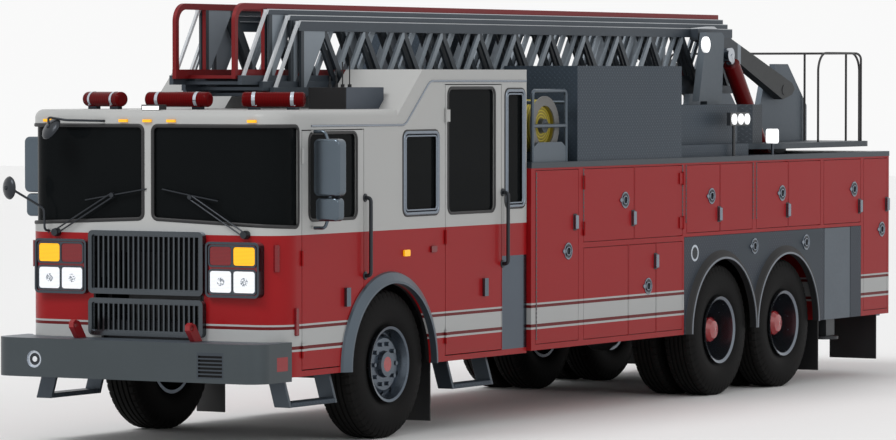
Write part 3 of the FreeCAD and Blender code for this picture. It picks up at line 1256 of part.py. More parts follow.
def ladder_section(row):
    """A section's two sides with their slide pads, and the rungs that seat between them."""
    half = row["half"]
    front, rear = row["front"], row["rear"]
    w, h = SIDE_RAIL
    rail_end = front + row["rake"] if row["rake"] else truss_start(row) - HEAD_POST
    side = [box((half - w, half), (front, rear), (row["bottom"], row["bottom"] + h)),
            box((half - HAND_RAIL - 2, half - 2), (rail_end, rear), (row["top"] - row["hand"], row["top"])),
            truss_side(row, half - w + 8, half - w + 8 + LACE)]
    if not row["rake"]:
        side.append(fly_head(row, half - HAND_RAIL - 2, half - 2))
    inner = next((r for r in LADDER if r["bottom"] > row["bottom"]), None)
    if inner:
        for y in (front + 250, rear - 500):
            height = (row["bottom"] + 28, inner["bottom"] - SEAT)
            side.append(box((inner["half"] - w, half - w + 1), (y, y + 160), height))
    solids = both(fuse(side))
    y = front + 200
    while y < rear - 60:
        solids.append(box((-half + w, half - w), (y - RUNG / 2, y + RUNG / 2),
                          (row["bottom"] + 2, row["bottom"] + 2 + RUNG)))
        y += RUNG_PITCH
    return solids


HEEL_X = 475.0               # middle of the plates that carry the base section
HEEL_HALF = 45.0
HEEL_OUT = HEEL_X + HEEL_HALF


def make_ladder_base():
    section = ladder_section(LADDER[0])
    arms = []
    heel = [(6900, 3270), (6900, 3377), (7240, 3395), (7500, 3315), (8950, 2860), (9010, 2800),
            (8950, 2745), (8740, 2700), (7560, 3130), (7400, 3180)]
    eye_y, eye_z = CYLINDER_EYE
    gusset = [(eye_y - 120, eye_z - 67), (eye_y + 120, eye_z - 67), (eye_y + 150, eye_z + 173),
              (eye_y - 150, eye_z + 173)]
    for s in (-1, 1):
        x = s * HEEL_X
        inside = HEEL_X - 130
        root = HEEL_OUT - 5
        arm = fuse([
            prism(heel, "x", x - HEEL_HALF, x + HEEL_HALF),
            prism(gusset, "x", x - HEEL_HALF, x + HEEL_HALF),
            cyl((s * inside, PIVOT[0], PIVOT[1]), (s * (HEEL_OUT + 5 - inside), 0, 0), PIVOT_R),
            cyl((s * root, eye_y, eye_z), (s * (EYE_PLATE[0] - root - GAP), 0, 0), 60),
        ])
        arms.append(arm.cut(section[:2]))
    return section + arms


# ---------------------------------------------------------------- stabilisers
JACK_X = (BODY_HALF - 215.0, BODY_HALF - 55.0)
JACK_DOWN = 390.0
JACK_WALL = 15.0


def out_cell(side):
    middle = sum(OUT_BOX_Y) / 2
    if side > 0:
        return OUT_BOX_Y[0] + OUT_WALL, middle - OUT_WALL / 2
    return middle + OUT_WALL / 2, OUT_BOX_Y[1] - OUT_WALL


def make_out_beam(side):
    y0, y1 = out_cell(side)
    y0 += GAP
    y1 -= GAP
    beam = box((50 - OUT_HALF, JACK_X[1]), (y0, y1), OUT_BEAM_Z)
    tube = box(JACK_X, (y0, y1), (430, 1250))
    cover = box((BODY_HALF - LEAF, BODY_HALF), (OUTRIGGER_Y[0] + GAP, OUTRIGGER_Y[1] - GAP),
                (BODY_BOTTOM, LOWER_TOP - GAP))
    stay = box((JACK_X[1] - 1, BODY_HALF - LEAF + 1), (y0 + 10, y1 - 10), (700, 1200))
    wall = JACK_WALL - SEAT
    bore = box((JACK_X[0] + wall, JACK_X[1] - wall), (y0 + wall, y1 - wall), (400, 1230))
    out = fuse([beam, tube, cover, stay]).cut(bore)
    return out if side > 0 else mirrored(out)


def make_jack(side):
    y0, y1 = out_cell(side)
    y0 += GAP
    y1 -= GAP
    leg = box((JACK_X[0] + JACK_WALL, JACK_X[1] - JACK_WALL), (y0 + JACK_WALL, y1 - JACK_WALL), (420, 1150))
    middle = (sum(JACK_X) / 2, (y0 + y1) / 2)
    foot = cyl((middle[0], middle[1], JACK_DOWN + 5), (0, 0, 28), 150)
    out = fuse([leg, foot])
    return out if side > 0 else mirrored(out)


# ---------------------------------------------------------------- write every piece
SIDES = (("left", 1), ("right", -1))


def main():
    export("chassis_frame", make_frame())
    export("axles_and_springs", make_axles())
    export("engine_block", make_driveline())
    export("front_bumper", make_bumper())
    export("cab_shell", make_cab())
    export("cab_glass", make_cab_glass())
    export("cab_interior", make_cab_interior())
    export("cab_fittings", make_cab_fittings())
    export("cab_steps", make_steps())
    export("arch_flares", make_arch_flares())
    export("front_grille", make_grille())
    export("lamp_units", make_lamps())
    export("light_bars", make_light_bars())
    export("roof_equipment", make_roof_equipment())
    export("body_shell", make_body())
    export("closed_doors", make_fixed_leaves())
    export("wheel_panels", make_wheel_panels())
    export("deck_plate", make_deck())
    export("deck_boxes", make_deck_boxes())
    export("hose_reel_frame", make_reel_frame())
    export("hose_reel_drum", make_reel_drum())
    export("mud_flaps", make_mud_flaps())
    export("rear_fittings", make_rear_fittings())
    for name, side in SIDES:
        export("knuckle_" + name, knuckle(side))
        export("front_rim_" + name, front_rim(side))
        export("front_tyre_" + name, front_tyre(side))
        for k, axle in enumerate(REAR_AXLES):
            export("rear_rim_%d_%s" % (k + 1, name), rear_rim(side, axle))
            export("rear_tyres_%d_%s" % (k + 1, name), rear_tyres(side, axle))
        export("front_door_" + name, make_front_door(side))
        export("front_door_glass_" + name, door_glass(side, FRONT_DOOR_WINDOW))
        export("crew_door_" + name, make_crew_door(side))
        export("crew_door_glass_" + name, door_glass(side, CREW_DOOR_WINDOW))
        for leaf_name in MOVING_LEAVES:
            export("locker_door_%s_%s" % (leaf_name, name), leaf(leaf_name, side))
        export("stabiliser_beam_" + name, make_out_beam(side))
        export("stabiliser_jack_" + name, make_jack(side))
    export("turntable", make_turntable())
    export("lift_barrels", make_barrels())
    export("lift_rods", make_rods())
    export("ladder_base", make_ladder_base())
    for row in LADDER[1:]:
        export(row["name"], ladder_section(row))


main()
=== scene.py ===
import math
from functools import partialmethod, reduce

import bmesh
import bpy
import numpy as np
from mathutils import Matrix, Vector


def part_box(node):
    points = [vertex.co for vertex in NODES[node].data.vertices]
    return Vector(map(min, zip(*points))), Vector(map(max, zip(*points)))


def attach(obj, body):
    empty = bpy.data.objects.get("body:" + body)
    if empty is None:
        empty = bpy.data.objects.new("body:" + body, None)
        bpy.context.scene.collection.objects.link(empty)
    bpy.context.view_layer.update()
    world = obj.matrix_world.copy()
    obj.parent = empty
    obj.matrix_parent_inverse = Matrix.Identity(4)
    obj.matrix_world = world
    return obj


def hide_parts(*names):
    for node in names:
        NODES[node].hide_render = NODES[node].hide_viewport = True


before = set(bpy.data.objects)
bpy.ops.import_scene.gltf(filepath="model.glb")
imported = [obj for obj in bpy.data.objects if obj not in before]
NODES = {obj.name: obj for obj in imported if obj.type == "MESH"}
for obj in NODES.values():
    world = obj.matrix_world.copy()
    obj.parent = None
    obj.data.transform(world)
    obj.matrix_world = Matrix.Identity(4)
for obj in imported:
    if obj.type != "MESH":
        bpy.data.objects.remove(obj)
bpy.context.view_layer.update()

# Fire engine in metres. +X is the driver's side, +Y runs to the rear, +Z is up.
SIDES = (("left", 1.0), ("right", -1.0))


def low(node):
    return np.array(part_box(node)[0])


def high(node):
    return np.array(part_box(node)[1])


def middle(node):
    return (low(node) + high(node)) / 2


# ------------ shader terms
class Term:
    """A value in a material's tree. Arithmetic on it adds Math nodes."""

    def __init__(self, paint, socket):
        self.paint, self.socket = paint, socket

    def math(self, operation, *values):
        """Math node of that operation on this value and others."""
        return self.paint.node("ShaderNodeMath", (self,) + values, operation=operation)

    __add__ = __radd__ = partialmethod(math, "ADD")
    __mul__ = __rmul__ = partialmethod(math, "MULTIPLY")
    __sub__ = partialmethod(math, "SUBTRACT")
    __truediv__ = partialmethod(math, "DIVIDE")
    __gt__ = partialmethod(math, "GREATER_THAN")
    __lt__ = partialmethod(math, "LESS_THAN")
    __abs__ = partialmethod(math, "ABSOLUTE")
    smaller = partialmethod(math, "MINIMUM")
    larger = partialmethod(math, "MAXIMUM")
    whole = partialmethod(math, "FLOOR")
    part = partialmethod(math, "FRACT")

    def __rsub__(self, other):
        return self.paint.node("ShaderNodeMath", (other, self), operation="SUBTRACT")

    def reach(self, other):
        """Length of the flat vector of this value and another."""
        return (self * self + other * other).math("SQRT")

    def within(self, a, b):
        """1 from a to b, 0 elsewhere."""
        return (self > a) * (self < b)

    def ramp(self, a, b):
        """0 at a, 1 at b, straight between and clamped."""
        return self.paint.node("ShaderNodeMapRange", {"Value": self, "From Min": a, "From Max": b})


class Paint:
    """One procedural material round a Principled shader."""

    def __init__(self, name, **flat):
        self.material = bpy.data.materials.new(name)
        self.material.use_nodes = True
        self.tree = self.material.node_tree
        self.shader = self.tree.nodes["Principled BSDF"]
        self._object = None
        for key, value in flat.items():
            self.set(key.replace("_", " ").title().replace("Ior", "IOR"), value)

    def _feed(self, socket, value):
        if isinstance(value, Term):
            self.tree.links.new(value.socket, socket)
        elif isinstance(value, (tuple, list)) and len(value) == 3 and socket.type == "RGBA":
            socket.default_value = (*value, 1.0)
        else:
            socket.default_value = value

    def node(self, kind, values=(), out=0, **settings):
        """Adds a node: its settings first, then its inputs by place or by name."""
        node = self.tree.nodes.new(kind)
        for key, value in settings.items():
            setattr(node, key, value)
        items = values.items() if isinstance(values, dict) else enumerate(values)
        for key, value in items:
            self._feed(node.inputs[key], value)
        return Term(self, node.outputs[out])

    def set(self, socket, value):
        self._feed(self.shader.inputs[socket], value)

    def space(self):
        """Object coordinates."""
        if self._object is None:
            self._object = self.node("ShaderNodeTexCoord", out="Object")
        return self._object

    def split(self, vector):
        return [self.node("ShaderNodeSeparateXYZ", (vector,), out=k) for k in "XYZ"]

    def place(self):
        """Terms for x, the distance behind the front axle, and the height."""
        x, y, z = self.split(self.space())
        return x, y - AXLE_Y, z

    def block(self, *ranges):
        """1 inside a block of space: ranges of the distance from the middle, of place and of height."""
        x, y, z = self.place()
        mask = None
        for term, span in zip((abs(x), y, z), ranges):
            for end, test in zip(span or (None, None), (Term.__gt__, Term.__lt__)):
                if end is not None:
                    mask = test(term, end) if mask is None else mask * test(term, end)
        return mask

    def any_block(self, blocks):
        """1 inside any of several blocks."""
        return reduce(Term.larger, [self.block(*ranges) for ranges in blocks])

    def normal(self):
        """Surface normal's x, y and z."""
        return self.split(self.node("ShaderNodeTexCoord", out="Normal"))

    def noise(self, scale, detail=3.0, stretch=(1, 1, 1)):
        vector = self.space()
        if stretch != (1, 1, 1):
            vector = self.node("ShaderNodeMapping", {"Vector": vector, "Scale": stretch})
        return self.node("ShaderNodeTexNoise", {"Vector": vector, "Scale": scale, "Detail": detail})

    def blend(self, mask, a, b):
        """Colour a where mask is 0 and b where it is 1."""
        return self.node("ShaderNodeMix", {0: mask, 6: a, 7: b}, 2, data_type="RGBA")

    def lay(self, colour, *layers):
        """Lays colours over a ground, one after another, each with its mask."""
        for mask, tone in layers:
            colour = self.blend(mask, colour, tone)
        return colour

    def grain(self, base, spread, scale=30.0):
        """A value with fine noise on it."""
        return base + spread * self.noise(scale, 2.0)

    def finish(self, colour, metallic, roughness, height=None, strength=0.03, distance=0.001):
        """Sets the last sockets, with a bump where there is a height, and gives the material."""
        for socket, value in (("Base Color", colour), ("Metallic", metallic), ("Roughness", roughness)):
            self.set(socket, value)
        if height is not None:
            bump = {"Height": height, "Strength": strength, "Distance": distance}
            self.set("Normal", self.node("ShaderNodeBump", bump))
        return self.material


# ------------ places, metres from the front axle
AXLE_Y = float(middle("front_tyre_left")[1])
REAR_AXLES = [float(middle("rear_rim_%d_left" % k)[1]) - AXLE_Y for k in (1, 2)]
HUB_Z = float(middle("front_tyre_left")[2])
TYRE_R = float(high("front_tyre_left")[2]) - HUB_Z
CAB_HALF = 1.208
BODY_HALF = 1.245
CAB_CORNER = (0.958, -1.43, 0.25)        # centre and radius of the cab's front corners
CAB_FRONT = -1.70
FRONT_BOW = 0.02
LAMP_MIDDLE = 0.808
DECK_TOP = 2.2925
# ladder sections: bottom, top, hand rail's height, front and rear ends, rake, start of the lattice
LADDER = {
    "ladder_base": (2.760, 3.377, 0.085, -0.520, 7.800, 0.390, -0.040),
    "ladder_lower_mid": (2.808, 3.422, 0.045, -0.610, 7.790, 0.390, -0.130),
    "ladder_upper_mid": (2.856, 3.467, 0.045, -0.860, 7.780, 0.385, -0.385),
    "ladder_fly": (2.904, 3.512, 0.050, -0.885, 7.770, 0.0, -0.395),
}
BAYS = 12
LOW_RAIL = 0.0745            # height of a section's bottom rail


def at(y):
    """Row's y for a distance behind the front axle."""
    return AXLE_Y + y


# ------------ colours
RED = (0.285, 0.0060, 0.0085)
DARK_RED = (0.12, 0.004, 0.006)
WHITE = (0.405, 0.415, 0.415)
CREAM = (0.43, 0.43, 0.42)
SLATE = (0.085, 0.108, 0.132)
KICK_SLATE = (0.078, 0.096, 0.120)
HANDLE_SLATE = (0.105, 0.130, 0.155)
CHROME_TONE = (0.50, 0.54, 0.60)
BLACK = (0.010, 0.010, 0.011)
UNLIT = (0.0, 0.0, 0.0)
LENS_WHITE = (0.92, 0.93, 0.95)
FLY_RED = (0.19, 0.004, 0.006)
RAIL_TONE = (0.052, 0.066, 0.083)
# one lattice metal, painted lit and shaded for the two ways its bars lean
LATTICE_PAINTED_LIT = (0.26, 0.30, 0.34)
LATTICE_PAINTED_SHADE = (0.045, 0.055, 0.066)
# painted shade inside the bumper lamp and the round filler
PAINTED_HOLE_SHADE = (0.03, 0.035, 0.04)
DUST = (0.16, 0.13, 0.11)

CAB_WHITE_FROM = 1.683
CAB_BAND = (0.773, 0.987)
BODY_BAND = (0.771, 0.9955)
# the band's stripes, as shares of its height from the top: end of each, and its colour
BAND_STRIPES = ((0.07, WHITE), (0.18, DARK_RED), (0.80, WHITE), (0.92, DARK_RED), (1.0, WHITE))

# blocks of space that tell finishes apart: ranges of the distance from the middle, of metres
# behind the front axle and of height; None leaves a range or an end open
KICK_PANEL = ((CAB_HALF - 0.004, None), (1.869, 2.300), (0.623, 1.412))
WHEEL_HATCHES = ((None, (6.30, 6.93), (1.20, 1.46)), (None, (7.46, 8.08), None))
PANEL_FACE = ((BODY_HALF - 0.004, None), None, (1.0, None))
UPPER_LENSES, LOWER_LENSES = (1.451, 1.593), (1.237, 1.405)
LENS_FACE = (-1.7365, -1.7345)
LAMP_BACKING = ((0.582, 1.034), (-1.7235, -1.70), (1.218, 1.612))
RED_MARKERS = (((1.08, None), (-1.70, -1.50), (1.39, 1.62)), (None, (-1.50, -1.40), (0.88, 1.13)),
               (None, (0.64, 0.77), (None, 1.6)))
AMBER_MARKERS = ((None, (None, 3.0), (2.55, None)), (None, (0.20, 0.33), None))
FLOOD_LENSES = (((1.2065, None), (6.0, None), (2.46, None)), (None, (6.9, None), (2.296, None)))
FLOOD_CASE = (None, (6.0, 6.9), None)
TOW_EYES = (None, (None, -1.70), (0.8565, None))
BUMPER_MARKERS = ((BODY_HALF - 0.003, None), (-1.78, -1.62), (0.635, 0.744))
TURNTABLE_STEPS = ((0.695, None), (None, 7.30), (DECK_TOP, None))
TURNTABLE_RAILS = (((1.03, None), (8.38, None), (DECK_TOP, None)),
                   ((0.43, None), (9.385, None), (DECK_TOP, None)), (None, (9.3, None), (3.10, None)))
SPOT_LAMPS = ((0.6205, None), (6.70, 6.95), (3.1, None))
CHEEKS = ((0.35, 0.425), (8.2, None), (DECK_TOP, None))
HORNS = ((0.545, 0.6202), (None, 7.3), (DECK_TOP, None))
ROOF_FLOOD = (None, (None, -1.50), None)
ROOF_LENS = ((0.0, 0.078), (None, -1.655), (2.596, 2.69))


def shades(paint, colour, scale=2.2, spread=0.13):
    """A colour that wanders a little in tone over the surface."""
    dark, light = (tuple(c * share for c in colour) for share in (1 - spread, 1 + spread))
    return paint.blend(paint.noise(scale, 5.0), dark, light)


def ribs(value, count):
    """Triangle wave between 0 and 1, so many to the metre."""
    return abs((value * count).part() - 0.5) * 2.0


def wheel_reach(paint, axles):
    """Distance from the nearest of these axles, seen from the side."""
    y, z = paint.place()[1:]
    return reduce(Term.smaller, [(y - axle).reach(z - HUB_Z) for axle in axles])


def livery(paint, colour, band):
    """Lays the striped band over a ground colour."""
    z = paint.place()[2]
    bottom, top = band
    down = (top - z) / (top - bottom)
    start = 0.0
    for end, stripe in BAND_STRIPES:
        colour = paint.blend(down.within(start, end), colour, stripe)
        start = end
    return colour


def gloss_coat(paint, colour, base=0.34, metal_mask=None, metal_colour=SLATE):
    """Coated paint with a little orange peel and some dust low down; masked parts are bare metal."""
    cloud = paint.noise(0.9, 4.0)
    z = paint.place()[2]
    dust = z.ramp(1.0, 0.45) * cloud * 0.10
    colour = paint.blend(dust, colour, DUST)
    rough = base + 0.06 * cloud
    coat = 0.09 - 0.05 * dust
    metallic = 0.0
    if metal_mask is not None:
        colour = paint.blend(metal_mask, colour, shades(paint, metal_colour))
        rough = rough - metal_mask * (base - 0.16)
        coat = coat * (1.0 - metal_mask)
        metallic = metal_mask * 0.95
    paint.set("Coat Weight", coat)
    paint.set("Coat Roughness", 0.06)
    paint.set("Specular IOR Level", 0.13)
    return paint.finish(colour, metallic, rough, paint.noise(38.0, 2.0), 0.04, 0.002)


def cab_ground(paint):
    """White over red with the band, as on the cab and its doors."""
    z = paint.place()[2]
    warm = paint.blend(paint.noise(0.7, 2.0), WHITE, CREAM)
    return livery(paint, paint.blend(z > CAB_WHITE_FROM, RED, warm), CAB_BAND)


def cab_paint():
    """Cab shell: livery outside, black inside and behind the grille, bare kick panel behind the crew door."""
    paint = Paint("cab_paint")
    x, y, _ = paint.place()
    centre_x, centre_y, radius = CAB_CORNER
    depth = (abs(x) - centre_x).larger(0.0).reach((centre_y - y).larger(0.0))
    inside = (depth < radius - 0.018) * paint.block(None, (None, 2.26), (None, 2.62))
    skin = x * x * (FRONT_BOW / centre_x ** 2) + CAB_FRONT
    lo, hi = low("front_grille"), high("front_grille")
    grille = ((None, hi[0] - 0.02), None, (lo[2] + 0.02, hi[2] - 0.02))
    inside = inside.larger((y - skin).within(-0.01, 0.3) * paint.block(*grille))
    colour = paint.blend(inside, cab_ground(paint), BLACK)
    return gloss_coat(paint, colour, metal_mask=paint.block(*KICK_PANEL), metal_colour=KICK_SLATE)


def door_paint():
    """Cab doors: livery, with bright mirrors, handles and hinges standing off the skin."""
    paint = Paint("door_paint")
    x, _, z = paint.place()
    wide = abs(x)
    colour = paint.blend(wide < CAB_HALF - 0.045, cab_ground(paint), BLACK)
    off = (wide > CAB_HALF + 0.0035) * z.within(1.08, 1.25).larger(wide > CAB_HALF + 0.022)
    return gloss_coat(paint, colour, metal_mask=off, metal_colour=HANDLE_SLATE)


def body_paint():
    paint = Paint("body_paint")
    return gloss_coat(paint, livery(paint, RED, BODY_BAND), 0.40)


def enamel():
    paint = Paint("dark_red_enamel")
    return gloss_coat(paint, shades(paint, (0.115, 0.003, 0.004)), 0.24)


def metal(name, colour, roughness, grain=0.05, metallic=0.9):
    """Brushed or polished metal, a little uneven in tone and sheen."""
    paint = Paint(name)
    fine = paint.noise(60.0, 2.0, (1, 1, 0.15))
    return paint.finish(shades(paint, colour), metallic, roughness + grain * (fine - 0.5), fine)


def painted_reflection_tones(paint, dark, bright):
    """Painted reflection: dark on the faces, where polished metal would show the ground, and bright on upper
    edges as a painted sky highlight.
    """
    return paint.blend(paint.normal()[2].ramp(0.25, 0.8), dark, bright)


def painted_reflection_metal(name, dark, bright, roughness=0.2):
    """Polished metal with a painted reflection in two tones that follow the way a face looks."""
    paint = Paint(name)
    return paint.finish(painted_reflection_tones(paint, shades(paint, dark), bright), 0.9, paint.grain(roughness, 0.05))


def lozenges(paint, cell=0.034):
    """Height of raised lozenges at right angles to each other, on a grid turned 45 degrees."""
    x, y, z = paint.place()
    y = y + AXLE_Y
    nx, _, nz = paint.normal()
    side, flat = abs(nx) > 0.6, abs(nz) > 0.6
    across = side * y + (1.0 - side) * x
    up = flat * y + (1.0 - flat) * z
    p = (across + up) / (cell * math.sqrt(2))
    q = (across - up) / (cell * math.sqrt(2))
    swap = ((p.whole() + q.whole()) / 2.0).part() * 2.0
    a, b = p.part() - 0.5, q.part() - 0.5
    along = a + swap * (b - a)
    over = b + swap * (a - b)
    return (1.0 - (along / 0.44).reach(over / 0.15)).larger(0.0)


def tread_tones(paint, height, colour):
    """Plate with its raised lozenges lighter."""
    raised_lighter = (height * 3.0).smaller(1.0) * 0.35
    return paint.blend(raised_lighter, shades(paint, colour, 1.3), tuple(c * 1.7 for c in colour))


def treadplate():
    paint = Paint("treadplate_dark", specular_ior_level=0.15)
    height = lozenges(paint)
    rough = 0.36 + 0.12 * paint.noise(1.3, 5.0) - 0.1 * height
    return paint.finish(tread_tones(paint, height, (0.040, 0.054, 0.071)), 0.3, rough, height, 0.5, 0.003)


def wheel_panel():
    """Treadplate round the rear wheels with smooth dark hatches, a round filler whose dark inside is painted
    shade, and rubber arches.
    """
    paint = Paint("wheel_panel", specular_ior_level=0.3)
    x, y, z = paint.place()
    height = lozenges(paint)
    hatch = paint.any_block(WHEEL_HATCHES) * paint.block(*PANEL_FACE)
    filler = (y - 5.40).reach(z - 1.322)
    reach = wheel_reach(paint, REAR_AXLES)
    arch = (abs(x) > BODY_HALF + 0.0015).larger(reach < 0.661)
    lip = (reach < 0.672) * (abs(x) > BODY_HALF + 0.036)
    # painted shade: the filler's inside is dark within its chrome ring
    colour = paint.lay(tread_tones(paint, height, (0.035, 0.044, 0.058)), (hatch, (0.036, 0.047, 0.060)),
                       (filler < 0.075, CHROME_TONE), (filler < 0.055, PAINTED_HOLE_SHADE),
                       (arch, (0.014, 0.014, 0.015)), (lip, (0.20, 0.22, 0.25)))
    rough = 0.40 + 0.12 * paint.noise(1.3, 5.0) + 0.1 * arch
    return paint.finish(colour, 0.75 * (1.0 - arch), rough, height * (1.0 - arch) * (1.0 - hatch), 0.5, 0.003)


def rubber(name, colour, roughness=0.75):
    paint = Paint(name)
    rough = roughness + 0.15 * (paint.noise(5.0, 5.0) - 0.5)
    return paint.finish(shades(paint, colour, 5.0, 0.3), 0.0, rough, paint.noise(160.0, 3.0), 0.15)


def tyre_rubber():
    """Tyre: dusty towards the tread, with fine turned rings on the sidewall."""
    paint = Paint("tyre_rubber", specular_ior_level=0.07)
    reach = wheel_reach(paint, [0.0] + REAR_AXLES)
    dust = reach.ramp(0.50, 0.60) * paint.noise(7.0, 4.0)
    colour = paint.blend(dust, (0.0045, 0.0044, 0.0045), (0.0120, 0.0115, 0.0110))
    rings = (reach * 90.0).part() * (reach < 0.50)
    return paint.finish(colour, 0.0, 0.58 + 0.2 * dust, rings, 0.10, 0.002)


def glass():
    paint = Paint("tinted_glass", specular_ior_level=0.02)
    haze = paint.noise(0.8, 3.0)
    paint.set("Alpha", 0.975 + 0.02 * haze)
    return paint.finish(paint.blend(haze, (0.0042, 0.0052, 0.0056), (0.0070, 0.0080, 0.0088)), 0.0, 0.05)


def rim_metal(name, tone, hub_r, axles):
    """Polished dish with a red hub."""
    paint = Paint(name)
    reach = wheel_reach(paint, axles)
    hub = (reach < hub_r) * (abs(paint.place()[0]) > 0.98)
    paint.set("Coat Weight", 0.5 * hub)
    colour = paint.blend(hub, shades(paint, tone), (0.30, 0.008, 0.012))
    return paint.finish(colour, 0.95 - 0.9 * hub, paint.grain(0.20, 0.10), (reach * 140.0).part(), 0.04)


def lamp_paint():
    """Headlamp clusters, roof and side markers and the deck's flood lamps, told apart by place."""
    paint = Paint("lamp_units", emission_strength=1.0)
    x, y, z = paint.place()
    wide = abs(x)
    front = y < CAB_FRONT
    prisms = ribs(z, 95.0)
    lens = wide.within(LAMP_MIDDLE - 0.206, LAMP_MIDDLE + 0.206)
    lens = lens * (1.0 - wide.within(LAMP_MIDDLE - 0.011, LAMP_MIDDLE + 0.011)) * y.within(*LENS_FACE)
    outer = wide > LAMP_MIDDLE
    upper = lens * z.within(*UPPER_LENSES)
    flood = paint.any_block(FLOOD_LENSES)
    red = (upper * (1.0 - outer)).larger(paint.any_block(RED_MARKERS))
    amber = (upper * outer).larger(paint.any_block(AMBER_MARKERS))
    white = (lens * z.within(*LOWER_LENSES)).larger(flood)
    backing = paint.block(*LAMP_BACKING)
    case = paint.block(*FLOOD_CASE) * (1.0 - flood)
    # a speckled bulb in the middle of each lower lens
    centre = abs(abs(wide - LAMP_MIDDLE) - 0.108).reach(z - 1.321)
    bulb = (paint.noise(75.0, 2.0) > 0.50) * (centre < 0.034) * front
    clear = paint.blend(bulb, paint.blend(prisms, (0.62, 0.64, 0.68), LENS_WHITE), (0.22, 0.25, 0.29))
    # the bare bezels carry a painted reflection: dark faces and bright upper edges
    colour = paint.lay(painted_reflection_tones(paint, (0.065, 0.076, 0.090), CHROME_TONE),
                       (backing, (0.26, 0.008, 0.012)), (case, (0.02, 0.022, 0.025)),
                       (red, paint.blend(prisms, (0.12, 0.003, 0.006), (0.22, 0.006, 0.010))),
                       (amber, paint.blend(prisms, (0.75, 0.28, 0.004), (1.0, 0.50, 0.01))), (white, clear))
    glow = paint.lay(UNLIT, (amber, (0.42, 0.20, 0.0)), (white * (1.0 - bulb), (0.22, 0.23, 0.25)),
                     (flood, (0.75, 0.75, 0.75)))
    paint.set("Emission Color", glow)
    bare = 1.0 - (red + amber + white + case + backing).smaller(1.0)
    return paint.finish(colour, 0.95 * bare, 0.14 + 0.05 * prisms, prisms * (amber + white + red), 0.15)


def beacon_paint():
    """Red cylinders with painted shade in stripes along their flutes, two bright bands each, on dark feet."""
    paint = Paint("beacons", specular_ior_level=0.05)
    x, y, z = paint.place()
    wide = abs(x)
    # the outer cylinders lie along a line turned back towards the sides
    turn = math.radians(22)
    slant = (y + 1.11) * math.cos(turn) - (wide - 0.80) * math.sin(turn)
    off = paint.blend(wide > 0.42, y + 1.25, slant)
    band = (off.reach(z - 2.740) > 0.0608) * (z > 2.69)
    foot = z < 2.682
    # painted shade: the red is darker and lighter in stripes along the flutes
    fluting = ribs(x + y, 60.0)
    colour = paint.lay(paint.blend(fluting, (0.075, 0.0015, 0.002), (0.13, 0.002, 0.003)),
                       (band, CHROME_TONE), (foot, (0.03, 0.035, 0.042)))
    return paint.finish(colour, band.larger(foot) * 0.9, 0.18 + 0.10 * foot, fluting * (1.0 - foot), 0.06)


def bumper_paint():
    """Slate bumper with a dark louvre, a round lamp, side markers and red tow eyes, and painted light and
    shade on its faces, louvre and lamp.
    """
    paint = Paint("bumper")
    x, y, z = paint.place()
    face = y < -2.02
    louvre = x.within(0.680, 0.926) * z.within(0.582, 0.785) * face
    lamp = (x + 0.849).reach(z - 0.688)
    bowl = (lamp < 0.0675) * face
    red = paint.any_block((TOW_EYES, BUMPER_MARKERS))
    # painted highlight: faces that point up or down are painted lighter
    flat = abs(paint.normal()[2]) > 0.6
    # painted shade: the louvre's recessed back is near black and the lamp's inside dark; painted highlight:
    # the lamp's bright centre
    colour = paint.lay(shades(paint, (0.056, 0.068, 0.075)), (flat, (0.115, 0.140, 0.170)),
                       (louvre, (0.045, 0.055, 0.066)), (louvre * (y > -2.049), (0.004, 0.004, 0.005)),
                       (bowl, CHROME_TONE), ((lamp < 0.048) * face, PAINTED_HOLE_SHADE),
                       ((lamp < 0.022) * face, (0.75, 0.77, 0.80)), (red, (0.24, 0.007, 0.010)))
    brushed = paint.noise(60.0, 2.0, (0.15, 1, 1))
    return paint.finish(colour, 0.65 * (1.0 - red), paint.grain(0.38, 0.08) - 0.2 * bowl, brushed)


def ladder_paint(node):
    """One ladder section: rails, light raked front bar with painted highlight lines along the top edges, and
    a lattice painted lighter or darker by the way its bars lean.
    """
    low_z, high_z, hand, front, rear, rake, start = LADDER[node]
    paint = Paint(node + "_finish", specular_ior_level=0.3)
    _, y, z = paint.place()
    rail = RAIL_TONE if rake else FLY_RED
    rails = (z < low_z + LOW_RAIL).larger(z > high_z - hand - 0.0005)
    pitch = (rear - start - 0.060) / BAYS
    # painted light and shade: bars leaning one way are painted lighter, those leaning the other way darker
    lean = ((y - start) / pitch).part() < 0.5
    colour = paint.blend(rails, paint.blend(lean, LATTICE_PAINTED_SHADE, LATTICE_PAINTED_LIT), rail)
    if rake:
        slope = rake / (high_z - low_z - 0.020)
        along = y - front - (z - low_z - 0.010) * slope
        bar = along.within(-0.004, 0.0315) * (z > low_z + LOW_RAIL - 0.0005)
        # painted highlight along the top edge, joined to the raked front bar in the same light grey
        bright = bar.larger((z > high_z - 0.006) * (y > front + rake + 0.0001))
        colour = paint.blend(bright, colour, (0.62, 0.65, 0.68))
    else:
        colour = paint.blend((y < start - 0.0445).larger(rails), colour, rail)
        bright = 0.0
    # the arms behind the lattice are dark
    colour = paint.lay(colour, (y > rear + 0.01, (0.038, 0.041, 0.043)),
                       (paint.noise(2.2, 5.0) * 0.25, (0.02, 0.022, 0.025)))
    brushed = paint.noise(60.0, 2.0, (1, 0.15, 1))
    return paint.finish(colour, 0.25 * (1.0 - bright), paint.grain(0.40, 0.10), brushed)


